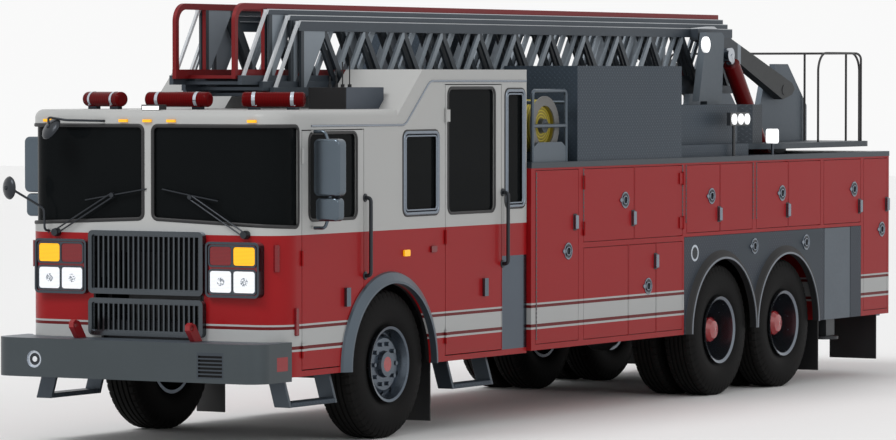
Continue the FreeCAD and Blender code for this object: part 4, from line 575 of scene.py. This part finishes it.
def turntable_paint():
    """Slate turntable with black guard rails, treadplate steps and white spot lamps."""
    paint = Paint("turntable_finish", emission_strength=1.0)
    height = lozenges(paint)
    step, spot = paint.block(*TURNTABLE_STEPS), paint.block(*SPOT_LAMPS)
    rail = paint.any_block(TURNTABLE_RAILS)
    colour = shades(paint, (0.045, 0.056, 0.068))
    colour = paint.lay(colour, (paint.block(*CHEEKS), (0.078, 0.098, 0.120)),
                       (paint.block(*HORNS), (0.088, 0.108, 0.128)),
                       (step, paint.blend(height, (0.030, 0.038, 0.048), (0.075, 0.09, 0.11))),
                       (rail, BLACK), (spot, LENS_WHITE))
    paint.set("Emission Color", paint.blend(spot, UNLIT, (0.7, 0.7, 0.7)))
    metallic = 0.5 * (1.0 - rail.larger(spot))
    return paint.finish(colour, metallic, paint.grain(0.42, 0.10), height * step, 0.5, 0.003)


def roof_case_paint():
    """Roof box with a dark front, black aerials and the white face of the forward flood lamp."""
    paint = Paint("roof_case", emission_strength=1.0)
    z = paint.place()[2]
    lit = paint.block(*ROOF_LENS)
    ahead = abs(paint.normal()[1]) > 0.6
    flood = paint.block(*ROOF_FLOOD)
    colour = paint.lay(shades(paint, (0.052, 0.066, 0.088)), (ahead, (0.006, 0.006, 0.007)),
                       (z > 2.8355, BLACK), (flood, (0.02, 0.02, 0.022)), (lit, LENS_WHITE))
    paint.set("Emission Color", paint.blend(lit, UNLIT, (0.45, 0.45, 0.45)))
    return paint.finish(colour, 0.4 * (1.0 - lit), paint.grain(0.38, 0.08), paint.noise(60.0, 2.0))


def reel_paint():
    """Grey flanges with the yellow hose between and inside them, its turns painted darker between and lighter
    on top as painted shade and light.
    """
    paint = Paint("reel_finish")
    x, y, z = paint.place()
    hub_y, hub_z = middle("hose_reel_drum")[1:]
    inner, outer = low("hose_reel_drum")[0], high("hose_reel_drum")[0]
    thick, mouth, rim = 0.0125, 0.171, 0.2265
    reach = (y + AXLE_Y - hub_y).reach(z - hub_z)
    flange = (x < inner + thick).larger((x > outer - thick) * (reach > mouth)).larger(reach > rim)
    # painted light and shade: the hose is darker in the grooves between its turns and lighter on them
    wound = ribs(x, 38.0) * (reach > 0.2) + ribs(reach, 38.0) * (reach < 0.2)
    hose = paint.blend(wound, (0.16, 0.125, 0.010), (0.50, 0.40, 0.03))
    colour = paint.blend(flange, hose, shades(paint, (0.16, 0.16, 0.155)))
    colour = paint.blend(reach < 0.062, colour, (0.05, 0.06, 0.07))
    return paint.finish(colour, 0.4 * flange, paint.grain(0.5, 0.1, 20.0), wound * (1.0 - flange), 0.6, 0.006)


def rear_paint():
    """Rear step with red lamps over it."""
    paint = Paint("rear_step")
    z = paint.place()[2]
    lamp = z > 1.0
    prisms = ribs(z, 95.0)
    lens = paint.blend(prisms, (0.14, 0.004, 0.006), (0.28, 0.008, 0.012))
    colour = paint.blend(lamp, shades(paint, SLATE), lens)
    return paint.finish(colour, 0.8 * (1.0 - lamp), paint.grain(0.30, 0.1), prisms * lamp, 0.1)


def stabiliser_paint():
    """Outrigger: its smooth outer cover is slate, the beam inside is bare."""
    paint = Paint("stabiliser_finish")
    cover = abs(paint.place()[0]) > BODY_HALF - 0.026
    colour = paint.blend(cover, shades(paint, (0.05, 0.055, 0.06)), shades(paint, (0.085, 0.105, 0.127)))
    return paint.finish(colour, 0.6, paint.grain(0.38, 0.1), paint.noise(60.0, 2.0))


FITTINGS = metal("black_fittings", (0.030, 0.034, 0.040), 0.32, 0.05, 0.7)
TREAD_DARK = treadplate()
TYRE_RUBBER = tyre_rubber()
TRIM_RUBBER = rubber("trim_rubber", (0.008, 0.008, 0.009), 0.5)
# materials and the nodes that wear them; a star stands for either side
COATS = [
    (cab_paint(), "cab_shell"), (door_paint(), "front_door_* crew_door_*"),
    (body_paint(), "body_shell closed_doors locker_door_upper_front_* locker_door_upper_front_rear_*"),
    (enamel(), "lift_barrels"),
    (metal("polished_slate", SLATE, 0.32, 0.05, 0.6), "cab_steps arch_flares hose_reel_frame"),
    (metal("deck_metal", (0.036, 0.046, 0.057), 0.34, 0.05, 0.6), "deck_plate"),
    # the grille wears a painted reflection: dark faces, bright upper edges
    (painted_reflection_metal("grille_metal", (0.075, 0.085, 0.095), (0.45, 0.49, 0.55)), "front_grille"),
    (metal("hard_chrome", (0.45, 0.48, 0.52), 0.12, 0.03, 1.0), "lift_rods"),
    (metal("dark_steel", (0.03, 0.032, 0.036), 0.5, 0.06, 0.5), "chassis_frame stabiliser_jack_*"),
    (metal("iron_casting", (0.035, 0.035, 0.037), 0.62, 0.08, 0.3),
     "axles_and_springs engine_block knuckle_*"),
    (rubber("seat_vinyl", (0.04, 0.04, 0.045), 0.6), "cab_interior"),
    (glass(), "cab_glass front_door_glass_* crew_door_glass_*"),
    (rim_metal("front_rim_metal", (0.100, 0.120, 0.145), 0.060, [0.0]), "front_rim_*"),
    (rim_metal("rear_rim_metal", (0.17, 0.19, 0.22), 0.120, REAR_AXLES), "rear_rim_1_* rear_rim_2_*"),
    (FITTINGS, "cab_fittings"), (TREAD_DARK, "deck_boxes"), (TRIM_RUBBER, "mud_flaps"),
    (TYRE_RUBBER, "front_tyre_* rear_tyres_1_* rear_tyres_2_*"), (bumper_paint(), "front_bumper"),
    (lamp_paint(), "lamp_units"), (beacon_paint(), "light_bars"), (roof_case_paint(), "roof_equipment"),
    (wheel_panel(), "wheel_panels"), (rear_paint(), "rear_fittings"), (turntable_paint(), "turntable"),
    (reel_paint(), "hose_reel_drum"), (stabiliser_paint(), "stabiliser_beam_*"),
] + [(ladder_paint(node), node) for node in LADDER]
for material, names in COATS:
    for node in {name.replace("*", side_name) for name in names.split() for side_name, _ in SIDES}:
        slots = NODES[node].data.materials
        if not len(slots):
            slots.append(material)
        for index in range(len(slots)):
            slots[index] = material


# ------------ surfaces
def unit(rows):
    """Vectors brought to length 1."""
    return rows / np.linalg.norm(rows, axis=-1, keepdims=True)


def round_steps(count):
    """So many equal steps round a circle, as angles."""
    return np.linspace(0, 2 * np.pi, count, endpoint=False)


def quads(rows, cols, round_rows=False, round_cols=False):
    """Faces of a grid of rows by cols points, closed on itself where asked."""
    r = np.arange(rows if round_rows else rows - 1)
    c = np.arange(cols if round_cols else cols - 1)
    a, b = np.meshgrid(r, c, indexing="ij")
    a2 = (a + 1) % rows
    b2 = (b + 1) % cols
    return np.stack([a * cols + b, a2 * cols + b, a2 * cols + b2, a * cols + b2], -1).reshape(-1, 4)


def lathe(profile, steps, centre=(0, 0, 0)):
    """Turned shape: (height, radius) points about a line along +X from a centre."""
    t = round_steps(steps)
    h, r = np.array(profile, float).T
    out = np.stack([h[:, None] + 0 * t, r[:, None] * np.cos(t), r[:, None] * np.sin(t)], -1)
    return out.reshape(-1, 3) + np.array(centre), quads(len(h), steps, False, True)


def sweep(path, profile, normal, closed=True):
    """Profile of (out, up) points run along a flat path; up is along the path's plane normal."""
    path = np.asarray(path, float)
    ahead = np.roll(path, -1, 0)
    back = np.roll(path, 1, 0)
    if not closed:
        ahead[-1] = 2 * path[-1] - path[-2]
        back[0] = 2 * path[0] - path[1]
    normal = np.broadcast_to(np.asarray(normal, float), path.shape)
    side = unit(np.cross(unit(ahead - back), normal))
    p = np.asarray(profile, float)
    out = path[:, None] + side[:, None] * p[None, :, :1] + normal[:, None] * p[None, :, 1:]
    return out.reshape(-1, 3), quads(len(path), len(p), closed, True)


def tube(path, radius, sides=10, closed=False):
    """Round tube along a curve in space."""
    path = np.asarray(path, float)
    tangent = unit(np.roll(path, -1, 0) - np.roll(path, 1, 0) if closed else np.gradient(path, axis=0))
    spare = np.eye(3)[np.argmin(np.abs(tangent).max(0))]
    u = unit(np.cross(tangent, spare))
    v = np.cross(tangent, u)
    t = round_steps(sides)[None, :, None]
    out = path[:, None] + radius * (u[:, None] * np.cos(t) + v[:, None] * np.sin(t))
    ends = [] if closed else [[np.arange(sides), len(path) * sides - 1 - np.arange(sides)]]
    return (out.reshape(-1, 3), quads(len(path), sides, closed, True), *ends)


def slab(lo, hi, bevel):
    """Block with chamfered edges, built as four loops one over the other."""
    (x0, y0, z0), (x1, y1, z1) = lo, hi
    loops = []
    for z, inset in ((z0, bevel), (z0 + bevel, 0.0), (z1 - bevel, 0.0), (z1, bevel)):
        outline = round_rect(x0 + inset, x1 - inset, y0 + inset, y1 - inset, bevel, 2)
        loops.append(np.column_stack([outline, np.full(8, z)]))
    return np.concatenate(loops), quads(4, 8, False, True), [np.arange(8), np.arange(31, 23, -1)]


def round_rect(a0, a1, b0, b1, radius, steps=7):
    """Closed outline of a rectangle with round corners, as (a, b) points."""
    t = np.linspace(0, np.pi / 2, steps)
    corners = ((a1 - radius, b1 - radius), (a0 + radius, b1 - radius), (a0 + radius, b0 + radius),
               (a1 - radius, b0 + radius))
    turned = [t + k * np.pi / 2 for k in range(4)]
    return np.concatenate([np.stack([np.cos(u), np.sin(u)], 1) * radius + c for u, c in zip(turned, corners)])


def half_round(width, height):
    """Half-round section, width across and height tall."""
    return [(width / 2 * math.cos(t), height * math.sin(t)) for t in np.linspace(0, math.pi, 7)]


def mirror(shape):
    points, *faces = shape
    return (points * (-1, 1, 1), *faces)


def sided(shape, side):
    return shape if side > 0 else mirror(shape)


def both(shapes):
    """Shapes together with their images on the other side."""
    return shapes + [mirror(shape) for shape in shapes]


def put(name, data):
    """New object in the scene."""
    thing = bpy.data.objects.new(name, data)
    bpy.context.scene.collection.objects.link(thing)
    return thing


def piece(name, shapes, material, body, sharp=35.0):
    """One object out of several shapes, riding on a body."""
    points, faces, start = [], [], 0
    for p, f, *caps in shapes:
        points.append(p)
        for group in (f, *sum(caps, [])):
            faces += np.atleast_2d(group + start).tolist()
        start += len(p)
    mesh = bpy.data.meshes.new(name)
    mesh.from_pydata(np.concatenate(points).tolist(), [], faces)
    solid = bmesh.new()
    solid.from_mesh(mesh)
    bmesh.ops.remove_doubles(solid, verts=solid.verts, dist=1e-5)
    bmesh.ops.recalc_face_normals(solid, faces=solid.faces)
    solid.to_mesh(mesh)
    solid.free()
    mesh.shade_smooth()
    mesh.set_sharp_from_angle(angle=math.radians(sharp))
    mesh.materials.append(material)
    thing = put(name, mesh)
    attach(thing, body)
    return thing


# ------------ dressing
def placed(points):
    """Points given with y behind the front axle, in the row's frame."""
    return np.array(points, float) + (0, AXLE_Y, 0)


def aim(shape, centre, direction):
    """Turns a shape made along +X at the origin to a direction and sets it at a centre."""
    points, *faces = shape
    turn = np.array(Vector((1, 0, 0)).rotation_difference(Vector(direction)).to_matrix())
    return (points @ turn.T + np.array(centre), *faces)


def bend(corners, radius, steps=6):
    """Path through corners; each corner is a parabola that starts and ends at the radius from it."""
    corners = np.asarray(corners, float)
    t = np.linspace(0, 1, steps)[:, None]
    out = [corners[:1]]
    for before, here, after in zip(corners, corners[1:], corners[2:]):
        a, b = unit(before - here) * radius, unit(after - here) * radius
        out.append(here + (1 - t) ** 2 * a + t ** 2 * b)
    return np.concatenate(out + [corners[-1:]])


def dense(outline, step=0.03, closest=0.002):
    """Closed outline with points put in wherever two are further apart than a step."""
    loop = np.vstack([outline, outline[:1]])
    gone = np.append(0, np.cumsum(np.linalg.norm(np.diff(loop, axis=0), axis=1)))
    even = np.arange(0, gone[-1], step)
    want = np.unique(np.round(np.concatenate([gone[:-1], even]), 5))
    keep = np.append(np.diff(want) > closest, True)
    return np.stack([np.interp(want[keep], gone, loop[:, k]) for k in range(2)], 1)


def button(radius, height):
    """Low round boss with a rolled edge, along +X from the origin."""
    return lathe([(0, radius), (height * 0.6, radius), (height, radius * 0.86), (height, 0)], 24)


GRAB_RAILS = ((-0.385, 1.330, 1.953), (1.875, 1.347, 1.948))         # y, and the heights of the feet


def make_grab_rails():
    shapes = []
    skin, reach = CAB_HALF - 0.002, CAB_HALF + 0.055
    for y, z0, z1 in GRAB_RAILS:
        path = bend(placed([(skin, y, z0), (reach, y, z0), (reach, y, z1), (skin, y, z1)]), 0.035)
        feet = [aim(button(0.034, 0.009), (CAB_HALF, at(y), z), (1, 0, 0)) for z in (z0, z1)]
        shapes += both([tube(path, 0.016, 14)] + feet)
    return shapes


# each wiper: pivot, elbow and the two ends of its blade, as (x, z)
WIPERS = (((0.908, 1.689), (0.409, 1.978), (0.139, 2.038), (0.660, 1.950)),
          ((-0.870, 1.683), (-0.324, 1.985), (-0.591, 1.942), (-0.012, 2.036)))
WIPER_Y = -1.722
ARM_OFFSET = 0.016
BLADE = ((-0.006, -0.004), (0.006, -0.004), (0.004, 0.010), (-0.004, 0.010))


def make_wipers():
    """Paired arms from a pivot to the middle of a bowed blade, in front of the windscreen."""
    y = at(WIPER_Y)
    shapes = []
    for pivot, elbow, start, end in WIPERS:
        run = unit(np.subtract(elbow, pivot))
        for off in (-ARM_OFFSET, ARM_OFFSET):
            across = off * np.array((-run[1], run[0]))
            (ax, az), (bx, bz) = pivot + across, elbow + across
            shapes.append(tube(bend([(ax, y, az), (bx, y, bz), (bx, y + 0.012, bz)], 0.008), 0.0065, 8))
        t = np.linspace(0, 1, 17)
        x, z = (np.interp(t, (0, 1), ends) for ends in zip(start, end))
        blade = np.stack([x, y + 0.010 + 0.010 * (2 * t - 1) ** 2, z], 1)
        caps = [np.arange(4), np.arange(67, 63, -1)]
        shapes.append((*sweep(blade, BLADE, (0, -1, 0), False), caps))
        shapes.append(aim(button(0.034, 0.060), (pivot[0], y + 0.045, pivot[1]), (0, -1, 0)))
        shapes.append(aim(button(0.022, 0.022), (elbow[0], y + 0.010, elbow[1]), (0, -1, 0)))
    return shapes


# round mirrors: the stalk's path, the glass's centre, the way it faces and its radius
MIRRORS = (
    (((-0.950, -1.66, 1.690), (-0.955, -1.745, 1.700), (-0.960, -1.745, 1.870), (-1.185, -1.892, 2.034)),
     (-1.200, -1.870, 2.034), (0.45, 0.893, 0), 0.093),
    (((-0.400, -1.66, 2.570), (-0.430, -1.74, 2.572), (-0.670, -1.850, 2.577), (-0.840, -1.860, 2.600),
      (-0.822, -1.872, 2.520)), (-0.810, -1.850, 2.506), (0.35, 0.75, -0.55), 0.100))
DRIP_LINE = ((-1.212, 2.534), (0.249, 2.529), (0.655, 2.885), (2.283, 2.884))       # (y, z)


def round_mirror(path, centre, facing, radius):
    """Mirror with a domed back on a bent stalk; the glass looks the way it faces."""
    dome = [(-0.006, 0), (-0.006, radius - 0.012), (-0.004, radius - 0.006), (0.004, radius),
            (0.014, radius - 0.004), (0.026, radius * 0.82), (0.036, radius * 0.50), (0.040, 0.018),
            (0.050, 0.016), (0.052, 0)]
    path = placed(path)
    return [aim(lathe(dome, 40), placed(centre), -np.array(facing, float)),
            tube(bend(path, 0.03), 0.0095, 10), aim(button(0.026, 0.020), path[0], (0, -1, 0))]


def make_cab_fittings():
    shapes = make_grab_rails() + make_wipers()
    for form in MIRRORS:
        shapes += round_mirror(*form)
    fittings = piece("cab_rails_and_wipers", shapes, FITTINGS, "truck")
    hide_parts("cab_fittings")
    line = bend([(CAB_HALF, at(y), z) for y, z in DRIP_LINE], 0.05)
    piece("drip_mouldings", both([tube(line, 0.009, 12)]), DRIP_METAL, "truck")


def side_ring(window, inset, width, height, side=1):
    """Half-round moulding round a cab side window, lying on the skin."""
    y0, y1, z0, z1 = window
    outline = round_rect(at(y0) + inset, at(y1) - inset, z0 + inset, z1 - inset, 0.060 - 0.7 * inset)
    path = np.column_stack([np.full(len(outline), CAB_HALF), outline])
    return sided(sweep(path, half_round(width, height), (1, 0, 0)), side)


def cab_front(s, z):
    """Points on the cab's front skin and its outward normals, s metres round from the centre line."""
    centre_x, centre_y, radius = CAB_CORNER
    turn = np.clip((s - centre_x) / radius, 0, math.pi / 2)
    past = np.maximum(s - centre_x - radius * math.pi / 2, 0)
    slope = 2 * FRONT_BOW * np.minimum(s, centre_x) / centre_x ** 2
    flat = s < centre_x
    x = np.where(flat, s, centre_x + radius * np.sin(turn))
    y = np.where(flat, CAB_FRONT + FRONT_BOW * (s / centre_x) ** 2, centre_y - radius * np.cos(turn) + past)
    normal = np.stack([np.where(flat, slope, np.sin(turn)), np.where(flat, -1.0, -np.cos(turn)), 0 * s], 1)
    return np.stack([x, at(0) + y, z], 1), unit(normal)


WINDSCREEN = (0.045, 1.380, 1.800, 2.535)      # one half: from and to round the skin, bottom and top
WINDSCREEN_DIP = 0.045 / 1.075                 # fall of its lower edge to the metre


def windscreen_ring(width, height):
    """Moulding round one half of the windscreen, which dips a little towards the corner."""
    bottom, top = WINDSCREEN[2:]
    s, z = dense(round_rect(*WINDSCREEN, 0.045)).T
    points, normal = cab_front(s, z - WINDSCREEN_DIP * (s - 0.075) * (top - z) / (top - bottom))
    return sweep(points, half_round(width, height), normal)


# windows as (y, y, z, z)
SIDE_WINDOWS = ((0.217, 0.803, 1.793, 2.480), (1.918, 2.269, 1.815, 2.817))
DOOR_WINDOWS = (("front_door_", (-1.242, -0.510, 1.794, 2.479)), ("crew_door_", (0.952, 1.746, 1.794, 2.827)))


def make_window_trim():
    """Black gaskets round every pane, and double bright frames in the sliding windows."""
    fixed = [side_ring(window, 0.0, 0.022, 0.006) for window in SIDE_WINDOWS]
    fixed.append(windscreen_ring(0.030, 0.008))
    frames = [side_ring(window, *form) for window in SIDE_WINDOWS
              for form in ((0.014, 0.030, 0.014), (0.042, 0.018, 0.010))]
    piece("window_gaskets", both(fixed), TRIM_RUBBER, "truck")
    piece("window_frames", both(frames), FRAME_METAL, "truck")
    for side_name, side in SIDES:
        for door, window in DOOR_WINDOWS:
            piece(door + "gasket_" + side_name, [side_ring(window, 0.0, 0.026, 0.007, side)], TRIM_RUBBER,
                  door + side_name)


# latches on the body's side, as (y, z)
RING_LATCHES = ((2.971, 1.419), (4.030, 1.835), (4.473, 1.059), (5.733, 1.832), (7.215, 1.828),
                (8.824, 1.832), (9.469, 1.425), (6.629, 1.347), (7.743, 1.350))
PADDLE_LATCHES = ((3.098, 1.666), (4.183, 1.672), (4.618, 1.277), (5.888, 1.664), (7.336, 1.665),
                  (8.952, 1.664), (9.586, 1.668))
LOCKERS = {"locker_door_front_": "locker_door_upper_front_",
           "locker_door_rear_": "locker_door_upper_front_rear_"}


def latch_body(y, z, side_name):
    """The opening locker door that holds a latch, or the truck."""
    for body, node in LOCKERS.items():
        lo, hi = low(node + side_name), high(node + side_name)
        if lo[1] < y < hi[1] and lo[2] < z < hi[2]:
            return body + side_name
    return "truck"


def ring_latch(x, y, z):
    """Bright rim and folding ring over a dark dish, with a hinge tab at its front."""
    rim = lathe([(0, 0.074), (0.006, 0.073), (0.009, 0.067), (0.006, 0.060), (0.001, 0.058)], 36, (x, y, z))
    t = round_steps(24)
    bow = np.stack([x + 0.010 + 0 * t, y - 0.008 + 0.040 * np.cos(t), z + 0.034 * np.sin(t)], 1)
    tab = aim(button(0.020, 0.012), (x, y - 0.080, z), (1, 0, 0))
    dish = lathe([(0.005, 0.060), (0.002, 0.040), (0.001, 0)], 36, (x, y, z))
    return [rim, tube(bow, 0.006, 8, True), tab], dish


def paddle_latch(x, y, z):
    """Block handle standing off a flat pan."""
    grip = slab((x + 0.002, y - 0.025, z - 0.062), (x + 0.028, y + 0.025, z + 0.062), 0.005)
    pan = slab((x - 0.002, y - 0.032, z - 0.072), (x + 0.004, y + 0.032, z + 0.072), 0.0025)
    return [grip], pan


def make_latches():
    bright, dark = {}, {}
    for side_name, side in SIDES:
        for make, places in ((ring_latch, RING_LATCHES), (paddle_latch, PADDLE_LATCHES)):
            for y, z in places:
                body = latch_body(at(y), z, side_name)
                shiny, dull = make(BODY_HALF, at(y), z)
                bright.setdefault(body, []).extend(sided(shape, side) for shape in shiny)
                dark.setdefault(body, []).append(sided(dull, side))
    for body in bright:
        piece("latches_" + body, bright[body], FRAME_METAL, body)
        piece("latch_pans_" + body, dark[body], FITTINGS, body)


STEPS = ((-1.515, -0.800), (1.050, 1.735))     # front and rear of each
STEP_FOOT = 0.338
STEP_LEAN = 0.28


def make_steps():
    """Open steps under the doors: a tread between two plates that lean out towards their feet."""
    top = low("cab_shell")[2] + 0.02
    plates, treads = [], []
    for y0, y1 in STEPS:
        for y in (at(y0), at(y1) - 0.03):
            points, *faces = slab((1.055, y, STEP_FOOT), (1.200, y + 0.030, top), 0.003)
            points[:, 0] += STEP_LEAN * (STEP_FOOT - points[:, 2])
            plates.append((points, *faces))
        treads.append(slab((1.058, at(y0) + 0.028, STEP_FOOT),
                           (1.197, at(y1) - 0.028, STEP_FOOT + 0.038), 0.004))
    steps = piece("step_plates", both(plates), STEP_METAL, "truck")
    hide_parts("cab_steps")
    piece("step_treads", both(treads), TREAD_DARK, "truck")


# piano hinges of the upper lockers: y, and the heights of their ends
HINGES = ((2.400, 0.680, 2.150), (3.253, 1.600, 2.150), (5.148, 1.600, 2.140), (5.218, 1.600, 2.140),
          (6.594, 1.600, 2.140), (6.668, 1.600, 2.140))
KNUCKLE = ((0, 0.0045), (0.002, 0.0075), (0.020, 0.0075), (0.022, 0.0045))         # (height, radius)
KNUCKLE_PITCH = 0.036


def make_hinges():
    """Knuckled rods: a radius that steps between two values along the height."""
    rods = []
    for y, z0, z1 in HINGES:
        starts = KNUCKLE_PITCH * np.arange(int((z1 - z0) / KNUCKLE_PITCH))
        knuckles = [(start + h, r) for start in starts for h, r in KNUCKLE]
        profile = [(0, 0), *knuckles, (knuckles[-1][0], 0)]
        rods.append(aim(lathe(profile, 8), (BODY_HALF, at(y), z0), (0, 0, 1)))
    piece("piano_hinges", both(rods), HINGE_METAL, "truck")


RIM_R = 0.292
FLANGE_R = 0.306
FRONT_TYRE = (0.860, 1.200)
REAR_TYRES = ((0.590, 0.888), (0.932, 1.230))
GROOVES = (-0.62, -0.21, 0.21, 0.62)           # as shares of the tread's half width
BLOCKS = 52
STEPS_TO_BLOCK = 6
BLOCK_CUT = 0.012


def tyre(span, wheel_y, shoulder, side):
    """Tyre of revolution with four grooves round it and cross grooves in its shoulders.

    The section is a loop of (x, radius). At the first step of every block, the shoulder's points
    drop by the cut's depth, so the shoulders are rows of blocks."""
    a, b = span
    middle_x, r = (a + b) / 2, TYRE_R
    wall = [(a + 0.030, RIM_R), (a + 0.030, FLANGE_R + 0.002), (a + 0.006, 0.350), (a + 0.001, 0.420),
            (a + 0.004, 0.480), (a + 0.012, 0.535), (a + 0.016, 0.548), (a + shoulder * 0.55, r - 0.018)]
    half = (b - a) / 2 - shoulder
    tread = [(middle_x - half, r - 0.001)]
    for groove in GROOVES:
        g = middle_x + groove * half
        tread += [(g - 0.008, r), (g - 0.005, r - 0.014), (g + 0.005, r - 0.014), (g + 0.008, r)]
    tread.append((middle_x + half, r - 0.001))
    far = [(a + b - x, reach) for x, reach in reversed(wall)]
    section = np.array(wall + tread + far)
    t = round_steps(BLOCKS * STEPS_TO_BLOCK)
    edge = (np.abs(section[:, 0] - middle_x) > half * 0.75) & (section[:, 1] > 0.546)
    cut = np.arange(len(t)) % STEPS_TO_BLOCK == 0
    reach = section[:, 1:] - BLOCK_CUT * (edge[:, None] & cut[None, :])
    points = np.stack([np.broadcast_to(section[:, :1], reach.shape), wheel_y + reach * np.cos(t),
                       HUB_Z + reach * np.sin(t)], -1).reshape(-1, 3)
    return sided((points, quads(len(section), len(t), True, True)), side)


def make_tyres():
    for side_name, side in SIDES:
        front = piece("front_tyre_tread_" + side_name, [tyre(FRONT_TYRE, AXLE_Y, 0.055, side)], TYRE_RUBBER,
                      "front_wheel_" + side_name, 28.0)
        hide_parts("front_tyre_" + side_name)
        for axle, wheel_y in enumerate(REAR_AXLES, 1):
            pair = [tyre(span, at(wheel_y), 0.046, side) for span in REAR_TYRES]
            rear = piece("rear_tyre_treads_%d_%s" % (axle, side_name), pair, TYRE_RUBBER,
                         "rear_wheels_%d_%s" % (axle, side_name), 28.0)
            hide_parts("rear_tyres_%d_%s" % (axle, side_name))


DRIP_METAL = metal("drip_metal", (0.24, 0.27, 0.31), 0.22, 0.04, 0.9)
FRAME_METAL = metal("frame_metal", (0.20, 0.23, 0.27), 0.20, 0.04, 0.95)
STEP_METAL = metal("step_metal", (0.052, 0.065, 0.080), 0.36, 0.05, 0.6)
HINGE_METAL = metal("hinge_metal", (0.105, 0.100, 0.105), 0.4, 0.05, 0.5)
make_cab_fittings()
make_steps()
make_hinges()
make_window_trim()
make_latches()
make_tyres()


# ------------ stage and camera
SKY_LIGHT, SKY_SEEN = 0.62, 0.95
FLOOR_REACH = 90.0
# each sun: direction, power and angular size in degrees
SUNS = {"key_light": ((0.25, 0.75, -0.85), 1.35, 25), "side_light": ((-0.9, 0.35, -0.5), 0.35, 40)}
EYE = (20.306, -32.463, 2.917)                 # camera's x, distance behind the front axle and height
EYE_TURN, EYE_TILT = 29.75, 1.752              # degrees from straight ahead
LENS, FILM = 187.68, 36.0                      # millimetres


def look_along(thing, direction):
    thing.rotation_mode = "QUATERNION"
    thing.rotation_quaternion = Vector(direction).to_track_quat("-Z", "Y")


def make_world():
    """White sky, a little brighter to the eye and in reflections than as a light."""
    world = bpy.data.worlds.new("studio")
    bpy.context.scene.world = world
    world.use_nodes = True
    tree = world.node_tree
    back = tree.nodes["Background"]
    path = tree.nodes.new("ShaderNodeLightPath")
    rays = path.outputs["Is Camera Ray"]
    for kind in ("Is Glossy Ray", "Is Transmission Ray"):
        seen = tree.nodes.new("ShaderNodeMath")
        seen.operation = "MAXIMUM"
        tree.links.new(rays, seen.inputs[0])
        tree.links.new(path.outputs[kind], seen.inputs[1])
        rays = seen.outputs[0]
    strength = tree.nodes.new("ShaderNodeMapRange")
    strength.inputs["To Min"].default_value = SKY_LIGHT
    strength.inputs["To Max"].default_value = SKY_SEEN
    tree.links.new(rays, strength.inputs["Value"])
    tree.links.new(strength.outputs[0], back.inputs["Strength"])
    back.inputs["Color"].default_value = (1.0, 1.0, 1.0, 1.0)


def make_floor():
    mesh = bpy.data.meshes.new("studio_floor")
    corners = [(-1, -1, 0), (1, -1, 0), (1, 1, 0), (-1, 1, 0)]
    mesh.from_pydata([Vector(corner) * FLOOR_REACH for corner in corners], [], [(0, 1, 2, 3)])
    floor = put("studio_floor", mesh)
    paint = Paint("pale_floor", roughness=0.9)
    paint.set("Base Color", paint.blend(paint.noise(0.05, 1.0), (0.86, 0.86, 0.86), (0.88, 0.88, 0.88)))
    mesh.materials.append(paint.material)


def make_camera():
    """Long lens from the front left corner, at the height of the cab's roof."""
    data = bpy.data.cameras.new("view")
    data.lens, data.sensor_width = LENS, FILM
    data.clip_start, data.clip_end = 0.5, 400.0
    camera = put("view", data)
    turn, tilt = math.radians(EYE_TURN), math.radians(EYE_TILT)
    camera.location = (EYE[0], at(EYE[1]), EYE[2])
    look_along(camera, (-math.sin(turn) * math.cos(tilt), math.cos(turn) * math.cos(tilt), -math.sin(tilt)))
    bpy.context.scene.camera = camera


make_world()
make_floor()
for sun, (direction, power, size) in SUNS.items():
    lamp = bpy.data.lights.new(sun, "SUN")
    lamp.energy, lamp.angle = power, math.radians(size)
    look_along(put(sun, lamp), direction)
make_camera()
bpy.context.scene.view_settings.view_transform = "Standard"
